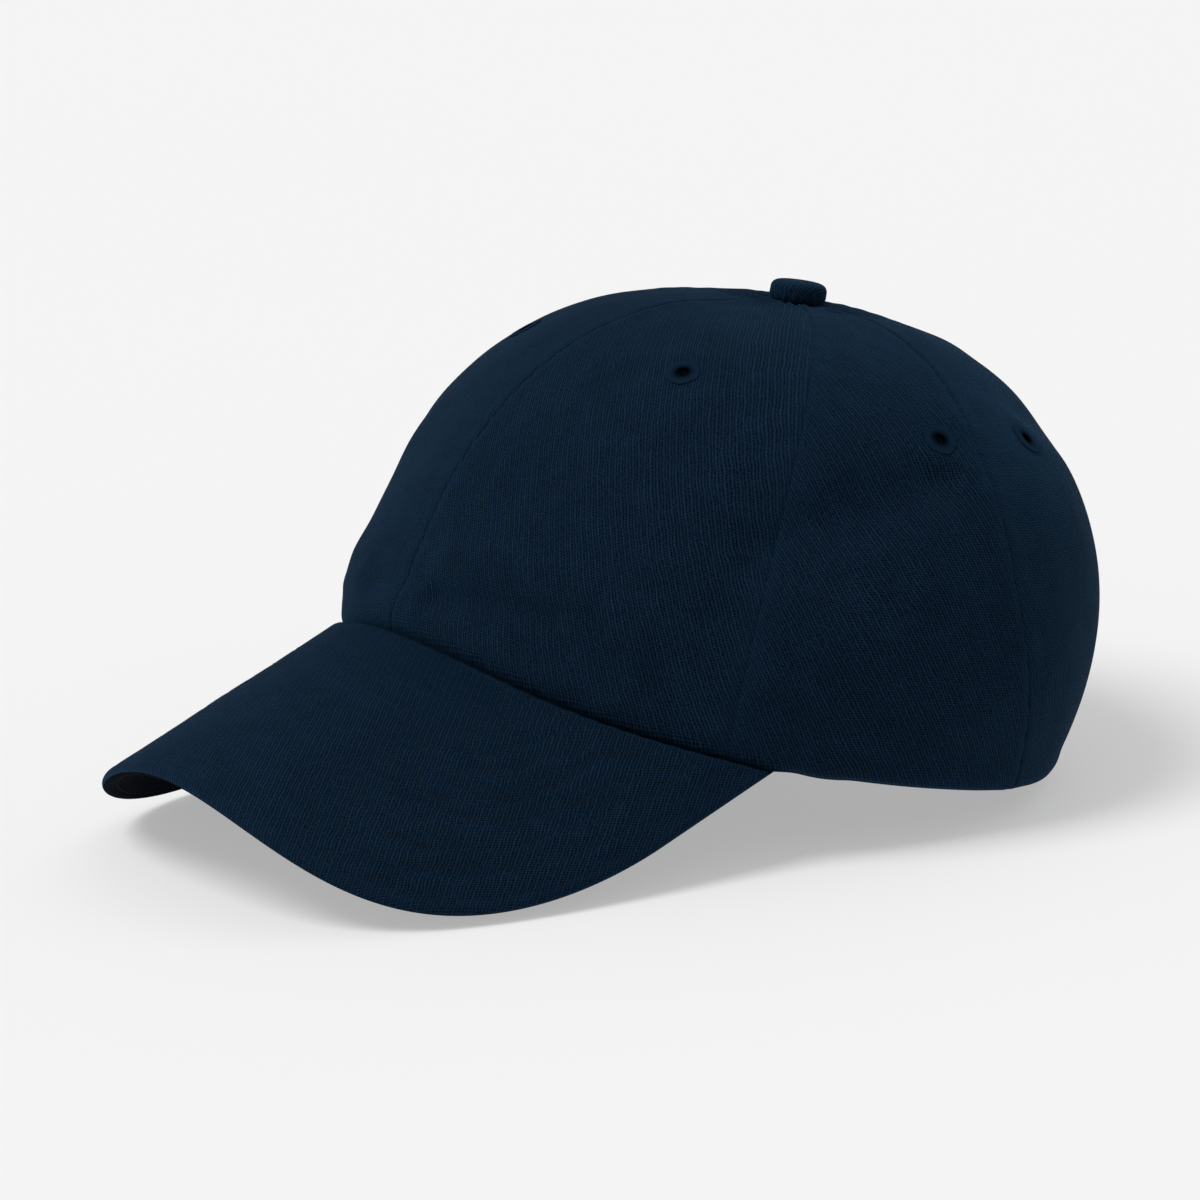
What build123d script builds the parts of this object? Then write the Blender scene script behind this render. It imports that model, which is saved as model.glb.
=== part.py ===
from build123d import *
import math
import os

os.makedirs("parts", exist_ok=True)

# A six-panel unstructured baseball cap with a curved visor and an adjustable cloth strap.
# Lengths are in millimetres and angles in degrees.
# The cap is drawn in its own cap frame: the rim lies near z = 0, the visor points to -Y,
# the wearer's left is +X, and the crown's apex is on the Z axis. stand() then tips it back
# on to its visor and the back of its rim, with the origin under the middle of the cap.

# ---- crown, measured on its outer face
RIM_FRONT = 106.3
RIM_SIDE = 88.1
RIM_BACK = 72.1
RIM_PLAN_BLEND = 0.35
RIM_BACK_HEIGHT = -2.0
CROWN_HEIGHT = 98.4
# slope of the wall above the rim, outwards from upright: front, side, back
WALL_LEAN = (-13.4, 23.2, 12.8)
# reach of the wall's curve up from the rim, and of the top's curve out from the apex
WALL_REACH = (69.6, 66.4, 53.5)
TOP_REACH = (52.4, 71.6, 63.6)
TOP_SLOPE = -4.7
CLOTH = 0.9
APEX_RISE = 0.98

# ---- seams: angle from the front at the rim, and how it changes towards the apex
FRONT_SIDE_SEAM = 57.8
FRONT_SIDE_TURN = 9.0
SIDE_BACK_SEAM = 106.0
SIDE_BACK_BOW = 14.0
SEAM_CLEARANCE = 0.1

# ---- visor, whose top face meets the rim
VISOR_FRONT_HEIGHT = 13.8
VISOR_PITCH = 33.1
VISOR_HALF_SPAN = 86.1
VISOR_DROP = 75.2
VISOR_SHOULDER = 4.1
VISOR_TURN = 67.6
VISOR_SHOULDER_REACH = -7.8
VISOR_REACH = 77.0
VISOR_OUTLINE_POWER = 3.37
VISOR_END_ANGLE = 66.6
VISOR_THICKNESS = 3.4
VISOR_CLOTH = 0.7
VISOR_BOARD = 1.8
VISOR_EDGE_ROUND = 2.2
VISOR_GAP = 0.1
BOARD_INSET = 2.6

# ---- bands and tapes inside the crown
TAPE_WIDTH = 12.0
TAPE_THICKNESS = 0.6
TAPE_INSET = 1.0
BAND_PAD = 1.2
BAND_FACING = 0.6
BAND_INSET = 1.9
BAND_BACK_EXTRA = 6.0
BAND_TOP_RISE = 0.17
BAND_RAMP = (106.0, 122.0)

# ---- opening at the back and its strap
ARCH_HALF_WIDTH = 44.0
ARCH_HEIGHT = 54.0
ARCH_BINDING_WIDTH = 8.0
STRAP_CENTRE_Y = -23.0
STRAP_RADIUS = 93.8
STRAP_THICKNESS = 1.4
STRAP_HEIGHT = 18.0
STRAP_BOTTOM = -1.0
# angles round the strap's axis, from the middle of the back towards the wearer's right
STRAP_SEWN_END = -41.0
STRAP_TAIL_END = 38.0
TAB_END = 32.5
BUCKLE_ANGLE = 17.0

# ---- clamp buckle, in its own frame: X along the strap, Y upwards, Z outwards
BUCKLE_START = -11.0
BUCKLE_END = 16.6
BUCKLE_SLOT = (12.2, 15.0)
BUCKLE_PLATE = 0.8
BUCKLE_PLATE_TOP = -3.4
BUCKLE_INNER_HALF = 9.85
BUCKLE_WALL = 0.8
BUCKLE_WALL_TOP = 1.2
PIN_X = 8.0
PIN_Z = 2.75
PIN_RADIUS = 0.8
LEVER_BARREL = 1.6
LEVER_HALF = 9.3
LEVER_TIP = -12.5
LEVER_PLATE = 0.8
FIT_CLEARANCE = 0.05
TAB_CLOTH = 0.7
TAB_HALF = 8.5

# ---- button
BUTTON_RADIUS = 7.0
BUTTON_HALF_HEIGHT = 2.6
BUTTON_CENTRE = CROWN_HEIGHT + 3.3
POST_RADIUS = 1.5

# ---- eyelets: angle from the front and rise from the rim
EYELETS = {"front": (37.0, 0.55), "side": (85.0, 0.545), "back": (112.0, 0.57)}
EYELET_HOLE = 1.5
EYELET_OUTER = 4.3

# ---- how it stands
REST_PITCH = 12.5


def three_way(values, c):
    """Blend front, side and back values with c = the cosine of the angle from the front."""
    front, side, back = values
    return side + (front - back) / 2 * c + ((front + back) / 2 - side) * c * c


def smooth(low, high, x):
    """0 below low, 1 above high and a smooth step between them."""
    share = min(max((x - low) / (high - low), 0.0), 1.0)
    return share * share * (3 - 2 * share)


def rim_plan(angle):
    """Plan position of the rim at an angle from the front."""
    c = math.cos(math.radians(angle))
    s = math.sin(math.radians(angle))
    front_share = 0.5 + 0.5 * math.tanh(c / RIM_PLAN_BLEND)
    reach = RIM_BACK + (RIM_FRONT - RIM_BACK) * front_share
    return RIM_SIDE * s, -reach * c


def visor_section(turn):
    """Cross-section of the visor: half width and drop at a turn angle from its middle."""
    a = math.radians(turn)
    width = VISOR_HALF_SPAN * math.sin(a)
    drop = VISOR_DROP * (1 - math.cos(a)) + VISOR_SHOULDER * math.sin(2 * a) ** 2
    return width, drop


def visor_point(turn, forward, depth):
    """Point on the visor, at a depth below its top face."""
    a = math.radians(turn)
    pitch = math.radians(VISOR_PITCH)
    width, drop = visor_section(turn)
    slope_x = VISOR_HALF_SPAN * math.cos(a)
    slope_drop = VISOR_DROP * math.sin(a) + 2 * VISOR_SHOULDER * math.sin(4 * a)
    length = math.hypot(slope_x, slope_drop)
    width -= depth * slope_drop / length
    drop += depth * slope_x / length
    y = -RIM_FRONT + drop * math.sin(pitch) - forward * math.cos(pitch)
    z = VISOR_FRONT_HEIGHT - drop * math.cos(pitch) - forward * math.sin(pitch)
    return Vector(width, y, z)


def visor_turn_at(x):
    """Turn angle of the visor's section at a distance from the middle plane."""
    return math.degrees(math.asin(min(abs(x) / VISOR_HALF_SPAN, 0.9999)))


def visor_seam_forward(turn, gap=0.0):
    """How far forward the visor meets the rim at a turn angle."""
    pitch = math.radians(VISOR_PITCH)
    x, drop = visor_section(turn)
    rim_angle = math.degrees(math.asin(min(abs(x) / RIM_SIDE, 1.0)))
    _, rim_y = rim_plan(rim_angle)
    return (-RIM_FRONT + drop * math.sin(pitch) - rim_y + gap) / math.cos(pitch)


def visor_rim_height(angle):
    """Height at which the visor's top face passes the rim."""
    x, y = rim_plan(angle)
    pitch = math.radians(VISOR_PITCH)
    _, drop = visor_section(visor_turn_at(x))
    forward = (-RIM_FRONT + drop * math.sin(pitch) - y) / math.cos(pitch)
    return VISOR_FRONT_HEIGHT - drop * math.cos(pitch) - forward * math.sin(pitch)


def back_rim_height(angle):
    """Height of the free rim, a smooth curve from the visor's end to the middle of the back."""
    end = VISOR_END_ANGLE
    step = 0.05
    slope = (visor_rim_height(end) - visor_rim_height(end - step)) / step
    share = (angle - end) / (180 - end)
    start_weight = 2 * share**3 - 3 * share**2 + 1
    slope_weight = (share**3 - 2 * share**2 + share) * (180 - end) * 0.35
    start = visor_rim_height(end) * start_weight
    return start + slope * slope_weight + RIM_BACK_HEIGHT * (1 - start_weight)


def rim_height(angle):
    angle = min(abs(angle), 360 - abs(angle))
    free = smooth(VISOR_END_ANGLE - 3, VISOR_END_ANGLE + 9, angle)
    if free == 0:
        return visor_rim_height(angle)
    return visor_rim_height(min(angle, 85)) * (1 - free) + back_rim_height(angle) * free


def crown_skin(angle, rise):
    """Point on the crown's outer face: rise is 0 at the rim and 1 at the apex."""
    c = math.cos(math.radians(angle))
    lean = math.radians(three_way(WALL_LEAN, c))
    wall = three_way(WALL_REACH, c)
    top = three_way(TOP_REACH, c)
    x, y = rim_plan(angle)
    radius = math.hypot(x, y)
    height = rim_height(angle)
    poles_r = (radius, radius + wall * math.sin(lean), top, 0)
    top_z = CROWN_HEIGHT - top * math.tan(math.radians(TOP_SLOPE))
    poles_z = (height, height + wall * math.cos(lean), top_z, CROWN_HEIGHT)
    left = 1 - rise
    weights = (left**3, 3 * rise * left**2, 3 * rise**2 * left, rise**3)
    r = sum(w * pole for w, pole in zip(weights, poles_r))
    z = sum(w * pole for w, pole in zip(weights, poles_z))
    return Vector(x / radius * r, y / radius * r, z)


def crown_normal(angle, rise):
    """Outward direction of the crown's skin."""
    step = 0.3
    around = crown_skin(angle + step, rise) - crown_skin(angle - step, rise)
    upward = crown_skin(angle, rise + step / 90) - crown_skin(angle, rise - step / 90)
    return around.cross(upward).normalized()


def crown_point(angle, rise, inset):
    return crown_skin(angle, rise) - crown_normal(angle, rise) * inset


def front_side_seam(rise):
    return FRONT_SIDE_SEAM + FRONT_SIDE_TURN * rise


def side_back_seam(rise):
    return SIDE_BACK_SEAM - SIDE_BACK_BOW * math.sin(math.pi * rise)


def steps(start, end, count):
    return [start + (end - start) * i / (count - 1) for i in range(count)]


def solid_between(top_grid, bottom_grid):
    """Closed solid between two matching grids of points."""
    top = Face.make_surface_from_array_of_points(top_grid)
    bottom = Face.make_surface_from_array_of_points(bottom_grid)
    sides = [
        Face.make_surface_from_curves(a, b)
        for a, b in zip(top.edges(), bottom.edges())
    ]
    solid = Solid(Shell([top, bottom] + sides))
    if solid.volume < 0:
        solid = Solid(-solid)
    return solid


def crown_patch(start, end, rises, insets, across):
    """Patch of the crown between two seam lines, given as functions of rise."""
    grids = []
    for inset in insets:
        rows = []
        for rise in rises:
            angles = steps(start(rise), end(rise), across)
            rows.append([crown_point(a, rise, inset) for a in angles])
        grids.append(rows)
    return solid_between(*grids)


def angle_for(width, rise, angle):
    """Angle that a width takes on the crown at a rise."""
    skin = crown_skin(angle, rise)
    return math.degrees(width / math.hypot(skin.X, skin.Y))


def panel(start, end):
    """One crown panel, with a little clearance along each seam."""
    def low(rise):
        return start(rise) + angle_for(SEAM_CLEARANCE / 2, rise, start(rise))

    def high(rise):
        return end(rise) - angle_for(SEAM_CLEARANCE / 2, rise, end(rise))

    return crown_patch(low, high, steps(0, APEX_RISE, 25), (0, CLOTH), 15)


def seam_tape(seam, first_rise, last_rise):
    """Tape over a seam on the inside of the crown, mitred where the tapes meet."""
    def half(rise):
        return min(angle_for(TAPE_WIDTH / 2, rise, seam(rise)), 15.0)

    return crown_patch(
        lambda rise: seam(rise) - half(rise),
        lambda rise: seam(rise) + half(rise),
        steps(first_rise, last_rise, 19),
        (TAPE_INSET, TAPE_INSET + TAPE_THICKNESS),
        4,
    )


def band_extra(angle):
    """The band stands further in at the back, to leave room for the strap's ends."""
    angle = min(angle, 360 - angle)
    return BAND_BACK_EXTRA * smooth(*BAND_RAMP, angle)


def band_layer(inset, thickness, first_rise, last_rise):
    """Layer of the sweatband, from one lower corner of the arch round the front to the other."""
    corner = 180 - math.degrees(math.asin((ARCH_HALF_WIDTH + 1) / RIM_SIDE))
    grids = []
    for depth in (inset, inset + thickness):
        rows = []
        for rise in steps(first_rise, last_rise, 6):
            row = []
            for angle in steps(-corner, corner, 61):
                row.append(crown_point(angle, rise, depth + band_extra(abs(angle))))
            rows.append(row)
        grids.append(rows)
    return solid_between(*grids)


def outline_distance(turn, forward, inset):
    """Distance in from the visor's outline, itself inset, to first order."""
    arc = math.radians(VISOR_HALF_SPAN)
    full_turn = VISOR_TURN - inset / arc
    reach = VISOR_REACH - inset
    past = max(forward - VISOR_SHOULDER_REACH, 0)
    side = abs(turn) / full_turn
    level = side**VISOR_OUTLINE_POWER + (past / reach) ** 2
    across = VISOR_OUTLINE_POWER * side ** (VISOR_OUTLINE_POWER - 1) / (full_turn * arc)
    along = 2 * past / reach**2
    return max(1 - level, 0) / max(math.hypot(across, along), 1e-6)


def visor_grid(inset, depth, edge_depth, edge_round):
    """Points of a visor layer whose depth runs to edge_depth at its rounded outline."""
    arc = math.radians(VISOR_HALF_SPAN)
    full_turn = VISOR_TURN - inset / arc
    rows = []
    for spread in steps(-90, 90, 47):
        turn = full_turn * math.sin(math.radians(spread))
        near = visor_seam_forward(turn, 0.15)
        side = abs(turn) / full_turn
        far = VISOR_SHOULDER_REACH + (VISOR_REACH - inset) * math.sqrt(
            max(1 - side**VISOR_OUTLINE_POWER, 0)
        )
        row = []
        for share in steps(0, 90, 23):
            forward = near + (far - near) * math.sin(math.radians(share))
            fall = 0
            if edge_round > 0:
                gone = 1 - min(outline_distance(turn, forward, inset) / edge_round, 1)
                fall = 1 - math.sqrt(1 - gone * gone)
            row.append(visor_point(turn, forward, depth + (edge_depth - depth) * fall))
        rows.append(row)
    return rows


def visor_cover(outer_depth, inner_depth, middle):
    """Cloth cover that turns over the visor's edge to the middle of its thickness."""
    outer = visor_grid(0, outer_depth, middle, VISOR_EDGE_ROUND)
    inner = visor_grid(VISOR_CLOTH, inner_depth, middle, VISOR_EDGE_ROUND - VISOR_CLOTH)
    return solid_between(outer, inner)


def visor_board():
    top = VISOR_CLOTH + VISOR_GAP
    return solid_between(
        visor_grid(BOARD_INSET, top, top, 0),
        visor_grid(BOARD_INSET, top + VISOR_BOARD, top + VISOR_BOARD, 0),
    )


def frame_on_crown(angle, rise):
    """Frame on the crown's skin with its Z axis outwards."""
    normal = crown_normal(angle, rise)
    return Plane(origin=crown_skin(angle, rise), z_dir=normal)


def eyelet_cutter(angle, rise):
    return frame_on_crown(angle, rise) * Cylinder(EYELET_HOLE + 0.5, 8)


def eyelet(angle, rise):
    """Ring of thread sewn round a vent hole: a flange on the skin and a sleeve through it."""
    profile = Polyline(
        (EYELET_HOLE, -CLOTH),
        (EYELET_HOLE, 0.55),
        (EYELET_HOLE + 0.4, 0.8),
        (EYELET_OUTER - 0.5, 0.7),
        (EYELET_OUTER, 0.2),
        (EYELET_HOLE + 0.4, 0.2),
        (EYELET_HOLE + 0.4, -CLOTH),
        close=True,
    )
    ring = revolve(Plane.XZ * make_face(profile), Axis.Z)
    return frame_on_crown(angle, rise) * ring


def arch_prism(grow):
    """Upright-sided arch through the back of the crown, larger than the opening by grow."""
    half = ARCH_HALF_WIDTH + grow
    top = ARCH_HEIGHT + grow
    shoulder = top - half
    sides = Pos(0, (shoulder - 20) / 2) * Rectangle(2 * half, shoulder + 20)
    outline = sides + Pos(0, shoulder) * Circle(half)
    return extrude(Plane.XZ.offset(-20) * outline, -120)


def arch_binding():
    """Tape that faces the edge of the back opening on the inside."""
    sheet = crown_patch(
        lambda rise: 118.0,
        lambda rise: 242.0,
        steps(0.005, 0.55, 19),
        (TAPE_INSET, TAPE_INSET + TAPE_THICKNESS),
        33,
    )
    return (sheet & arch_prism(ARCH_BINDING_WIDTH)) - arch_prism(0)


def conical_band(radius, thickness, bottom, height, start, end):
    """Sector of a conical band round the strap's axis, with its outer radius at the bottom."""
    lean = math.tan(math.radians(WALL_LEAN[2]))
    profile = Polyline(
        (radius, bottom),
        (radius + lean * height, bottom + height),
        (radius + lean * height - thickness, bottom + height),
        (radius - thickness, bottom),
        close=True,
    )
    face = Rot(0, 0, 90 + start) * (Plane.XZ * make_face(profile))
    return Pos(0, STRAP_CENTRE_Y, 0) * revolve(face, Axis.Z, end - start)


def strap_radius(depth):
    """Radius, at the strap's middle height, of the face at a depth below its outer face."""
    lean = math.radians(WALL_LEAN[2])
    return STRAP_RADIUS + math.tan(lean) * STRAP_HEIGHT / 2 - depth


def closure_strap():
    """Cloth strap across the opening, which slides along its own arc."""
    return conical_band(
        STRAP_RADIUS,
        STRAP_THICKNESS,
        STRAP_BOTTOM,
        STRAP_HEIGHT,
        STRAP_SEWN_END,
        STRAP_TAIL_END,
    )


def buckle_frame_plane():
    """Frame on the strap's middle line: X along the strap, Y upwards, Z outwards."""
    lean = math.radians(WALL_LEAN[2])
    a = math.radians(90 + BUCKLE_ANGLE)
    outward = Vector(math.cos(a), math.sin(a), 0)
    middle = Vector(0, STRAP_CENTRE_Y, STRAP_BOTTOM + STRAP_HEIGHT / 2)
    along = Vector(-math.sin(a), math.cos(a), 0)
    normal = outward * math.cos(lean) - Vector(0, 0, math.sin(lean))
    return Plane(middle + outward * strap_radius(STRAP_THICKNESS / 2), x_dir=along, z_dir=normal)


def local_box(x_range, y_range, z_range):
    """Box given by its ranges along three axes."""
    size = [high - low for low, high in (x_range, y_range, z_range)]
    centre = [(high + low) / 2 for low, high in (x_range, y_range, z_range)]
    return Pos(*centre) * Box(*size)


def cross_rod(radius, half):
    """Rod along Y at the lever's pin."""
    return Pos(PIN_X, 0, PIN_Z) * Rot(90, 0, 0) * Cylinder(radius, 2 * half)


def buckle_frame():
    """Base plate with a slot for the tab, and two side walls with ears for the pin."""
    inner = BUCKLE_INNER_HALF
    outer = inner + BUCKLE_WALL
    plate_bottom = BUCKLE_PLATE_TOP - BUCKLE_PLATE
    body = local_box((BUCKLE_START, BUCKLE_END), (-outer, outer), (plate_bottom, BUCKLE_PLATE_TOP))
    body -= local_box(BUCKLE_SLOT, (-inner, inner), (plate_bottom - 1, BUCKLE_PLATE_TOP + 1))
    for side in (-1, 1):
        span = sorted((side * inner, side * outer))
        wall_end = BUCKLE_SLOT[0] - 0.5
        body += local_box((BUCKLE_START, wall_end), span, (plate_bottom, BUCKLE_WALL_TOP))
        body += local_box((PIN_X - 2, PIN_X + 2), span, (plate_bottom, PIN_Z))
        ear = Pos(PIN_X, (span[0] + span[1]) / 2, PIN_Z) * Rot(90, 0, 0)
        body += ear * Cylinder(2, BUCKLE_WALL)
    body -= cross_rod(PIN_RADIUS + FIT_CLEARANCE / 2, outer + 1)
    return buckle_frame_plane() * body


def buckle_pin():
    return buckle_frame_plane() * cross_rod(PIN_RADIUS, BUCKLE_INNER_HALF + BUCKLE_WALL)


def buckle_lever():
    """Clamp lever: a barrel on the pin and a plate over the strap with a lifted tip."""
    low = PIN_Z - LEVER_BARREL
    width = (-LEVER_HALF, LEVER_HALF)
    lever = cross_rod(LEVER_BARREL, LEVER_HALF)
    lever += local_box((LEVER_TIP, PIN_X), width, (low, low + LEVER_PLATE))
    lever += local_box((LEVER_TIP, LEVER_TIP + LEVER_PLATE), width, (low, low + 2 * LEVER_PLATE))
    lever -= cross_rod(PIN_RADIUS + FIT_CLEARANCE, LEVER_HALF + 1)
    return buckle_frame_plane() * lever


def buckle_tab():
    """Folded cloth tab: a loop round the buckle's end bar and a double tail under the panel."""
    gap = 0.1
    bar = (BUCKLE_SLOT[1], BUCKLE_END)
    plate = (BUCKLE_PLATE_TOP - BUCKLE_PLATE, BUCKLE_PLATE_TOP)
    width = (-TAB_HALF, TAB_HALF)
    grow = gap + TAB_CLOTH
    loop = local_box((bar[0] - grow, bar[1] + grow), width, (plate[0] - grow, plate[1] + grow))
    hole = ((bar[0] - gap, bar[1] + gap), (-TAB_HALF - 1, TAB_HALF + 1), (plate[0] - gap, plate[1] + gap))
    loop = buckle_frame_plane() * (loop - local_box(*hole))
    middle_depth = (plate[0] + plate[1]) / 2
    start_x = bar[1] + grow - 0.2
    inner_radius = strap_radius(STRAP_THICKNESS / 2) + middle_depth
    radius = math.hypot(inner_radius, start_x) + TAB_CLOTH - strap_radius(0) + STRAP_RADIUS
    start = BUCKLE_ANGLE + math.degrees(math.atan(start_x / inner_radius))
    bottom = STRAP_BOTTOM + STRAP_HEIGHT / 2 - TAB_HALF
    shift = math.tan(math.radians(WALL_LEAN[2])) * (bottom - STRAP_BOTTOM)
    tail = conical_band(radius + shift, 2 * TAB_CLOTH, bottom, 2 * TAB_HALF, start, TAB_END)
    return loop + tail


def lens(half_width, half_height, hole):
    """Half outline of a flattened round body, open below within a hole radius."""
    start = -90 + math.degrees(math.asin(hole / half_width))
    points = []
    for a in steps(start, 90, 15):
        c = abs(math.cos(math.radians(a))) ** 0.8
        s = math.sin(math.radians(a))
        rise = math.copysign(abs(s) ** 0.9, s)
        points.append((half_width * c, BUTTON_CENTRE + half_height * rise))
    return points


def round_shell(half_width, half_height, wall, hole):
    """Hollow flattened dome, turned round the Z axis."""
    outer = lens(half_width, half_height, hole)
    inner = lens(half_width - wall, half_height - wall, hole)
    edges = [
        Spline(*outer),
        Line(outer[-1], inner[-1]),
        Spline(*reversed(inner)),
        Line(inner[0], outer[0]),
    ]
    return revolve(Plane.XZ * make_face(edges), Axis.Z)


def button_cover():
    return round_shell(BUTTON_RADIUS, BUTTON_HALF_HEIGHT, 0.5, 4.0)


def button_shell():
    return round_shell(BUTTON_RADIUS - 0.55, BUTTON_HALF_HEIGHT - 0.55, 0.5, 3.2)


def button_stud():
    """Post through the apex with a head inside the shell and a rivet end inside the crown."""
    low = CROWN_HEIGHT - 4.2
    high = BUTTON_CENTRE + 0.4
    post = Pos(0, 0, (low + high) / 2) * Cylinder(POST_RADIUS, high - low)
    head = Pos(0, 0, high) * Cylinder(4.2, 0.8)
    rivet = Pos(0, 0, low) * Cylinder(2.6, 0.8)
    return post + head + rivet


def button_backing():
    """Washer inside the crown that clamps the tapes' ends."""
    middle = CROWN_HEIGHT - 3.1
    disc = Pos(0, 0, middle) * Cylinder(8.0, 0.8)
    return disc - Pos(0, 0, middle) * Cylinder(POST_RADIUS + FIT_CLEARANCE, 2)


def inner_label():
    """Blank woven label over the back seam tape."""
    return crown_patch(
        lambda rise: 172.0,
        lambda rise: 188.0,
        steps(0.52, 0.64, 6),
        (TAPE_INSET + TAPE_THICKNESS + 0.1, TAPE_INSET + TAPE_THICKNESS + 0.4),
        7,
    )


def at_front(rise):
    return 0.0


def at_back(rise):
    return 180.0


def crown_panels():
    """The six panels and their eyelets: the left ones are drawn and the right ones mirrored."""
    seams = {
        "front": (at_front, front_side_seam),
        "side": (front_side_seam, side_back_seam),
        "back": (side_back_seam, at_back),
    }
    nodes = {}
    for place, (start, end) in seams.items():
        cloth = panel(start, end) - eyelet_cutter(*EYELETS[place])
        if place == "back":
            cloth -= arch_prism(0)
        ring = eyelet(*EYELETS[place])
        nodes[f"panel_{place}_left"] = cloth
        nodes[f"panel_{place}_right"] = mirror(cloth, about=Plane.YZ)
        nodes[f"eyelet_{place}_left"] = ring
        nodes[f"eyelet_{place}_right"] = mirror(ring, about=Plane.YZ)
    return nodes


def crown_tapes():
    """Six strips of seam tape."""
    first, last = 0.012, 0.955
    front_left = seam_tape(front_side_seam, first, last)
    back_left = seam_tape(side_back_seam, first, last)
    return {
        "seam_tape_front": seam_tape(at_front, first, last),
        "seam_tape_back": seam_tape(at_back, 0.47, last),
        "seam_tape_front_left": front_left,
        "seam_tape_front_right": mirror(front_left, about=Plane.YZ),
        "seam_tape_back_left": back_left,
        "seam_tape_back_right": mirror(back_left, about=Plane.YZ),
    }


def bands_and_visor():
    middle = VISOR_THICKNESS / 2
    facing_inset = BAND_INSET + BAND_PAD + 0.05
    return {
        "sweatband_padding": band_layer(BAND_INSET, BAND_PAD, 0.02, BAND_TOP_RISE - 0.01),
        "sweatband_facing": band_layer(facing_inset, BAND_FACING, 0.01, BAND_TOP_RISE),
        "visor_top_cover": visor_cover(0, VISOR_CLOTH, middle - VISOR_GAP / 2),
        "visor_under_cover": visor_cover(
            VISOR_THICKNESS, VISOR_THICKNESS - VISOR_CLOTH, middle + VISOR_GAP / 2
        ),
        "visor_board": visor_board(),
        "arch_binding": arch_binding(),
        "inner_label": inner_label(),
    }


def closure():
    return {
        "closure_strap": closure_strap(),
        "buckle_tab": buckle_tab(),
        "buckle_frame": buckle_frame(),
        "buckle_pin": buckle_pin(),
        "buckle_lever": buckle_lever(),
    }


def button():
    return {
        "button_cover": button_cover(),
        "button_shell": button_shell(),
        "button_stud": button_stud(),
        "button_backing": button_backing(),
    }


def standing_place(nodes):
    """Placement that tips the cap back to rest, over the middle of its own footprint."""
    tip = Rot(-REST_PITCH, 0, 0)
    box = Compound([solid for node in nodes.values() for solid in (tip * node).solids()])
    box = box.bounding_box()
    return Pos(0, -(box.min.Y + box.max.Y) / 2, -box.min.Z) * tip


def all_nodes():
    return crown_panels() | crown_tapes() | bands_and_visor() | closure() | button()


nodes = all_nodes()
standing = standing_place(nodes)
for name, node in nodes.items():
    export_step(standing * node, f"parts/{name}.step")
print("cap frame stands at", standing.position)
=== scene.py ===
"""Baseball cap in matte navy twill, built round its CAD frame. Lengths here are in millimetres in
the cap frame of the design (rim near z = 0, visor towards -Y); placed() turns them into metres
in the standing frame."""
import math

import bmesh
import bpy
import numpy as np
from mathutils import Matrix, Vector, noise
from mathutils.kdtree import KDTree


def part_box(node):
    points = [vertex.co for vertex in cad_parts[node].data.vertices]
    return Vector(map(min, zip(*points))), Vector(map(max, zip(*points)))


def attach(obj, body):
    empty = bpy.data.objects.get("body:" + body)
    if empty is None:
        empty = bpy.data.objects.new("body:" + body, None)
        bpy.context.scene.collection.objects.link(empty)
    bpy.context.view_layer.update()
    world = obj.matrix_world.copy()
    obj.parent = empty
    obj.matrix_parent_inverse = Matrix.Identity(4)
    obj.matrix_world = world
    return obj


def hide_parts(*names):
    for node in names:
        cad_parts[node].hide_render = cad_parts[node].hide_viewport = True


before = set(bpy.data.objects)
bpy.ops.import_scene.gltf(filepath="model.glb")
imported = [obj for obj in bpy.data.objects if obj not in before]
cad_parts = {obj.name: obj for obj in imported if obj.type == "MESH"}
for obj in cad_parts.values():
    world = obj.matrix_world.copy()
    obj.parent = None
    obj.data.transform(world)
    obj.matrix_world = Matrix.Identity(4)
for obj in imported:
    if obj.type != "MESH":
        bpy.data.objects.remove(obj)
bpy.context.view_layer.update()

# ---- crown
RIM_FRONT = 106.3
RIM_SIDE = 88.1
RIM_BACK = 72.1
RIM_PLAN_BLEND = 0.35
RIM_BACK_HEIGHT = -3.3
CROWN_HEIGHT = 98.4
WALL_LEAN = (-13.4, 23.2, 12.8)
WALL_REACH = (69.6, 66.4, 53.5)
TOP_REACH = (52.4, 71.6, 63.6)
TOP_SLOPE = -4.7
CLOTH = 0.9
APEX_RISE = 0.985
CROWN_ARC = 150
FAR = 99.0

# ---- seams
FRONT_SIDE_SEAM = 57.8
FRONT_SIDE_TURN = 9.0
SIDE_BACK_SEAM = 106.0
SIDE_BACK_BOW = 14.0

# ---- visor
VISOR_FRONT_HEIGHT = 13.8
VISOR_PITCH = 33.1
VISOR_HALF_SPAN = 86.1
VISOR_DROP = 75.2
VISOR_SHOULDER = 4.1
VISOR_TURN = 67.6
VISOR_SHOULDER_REACH = -7.8
VISOR_REACH = 77.0
VISOR_OUTLINE_POWER = 3.37
VISOR_END_ANGLE = 66.6
VISOR_THICKNESS = 3.4
VISOR_CLOTH = 0.7
VISOR_EDGE_ROUND = 2.2

# ---- bands, tapes and closure
TAPE_WIDTH = 12.0
TAPE_THICKNESS = 0.6
TAPE_INSET = 1.0
BAND_FACING = 0.6
BAND_MIDDLE = 2.55
BAND_BACK_EXTRA = 6.0
BAND_TOP_RISE = 0.17
BAND_RAMP = (106.0, 122.0)
ARCH_HALF_WIDTH = 44.0
ARCH_HEIGHT = 54.0
ARCH_BINDING_WIDTH = 8.0
ARCH_CORNER = 6.0
RIM_CLEARANCE = 0.012
STRAP_CENTRE_Y = -23.0
STRAP_RADIUS = 93.8
STRAP_THICKNESS = 1.4
STRAP_HEIGHT = 18.0
STRAP_BOTTOM = -1.0
STRAP_SEWN_END = -41.0
STRAP_TAIL_END = 38.0
STRAP_STITCH_INSET = 2.2
TAB_END = 32.5
TAB_HALF = 8.5
TAB_CLOTH = 0.7
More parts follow.
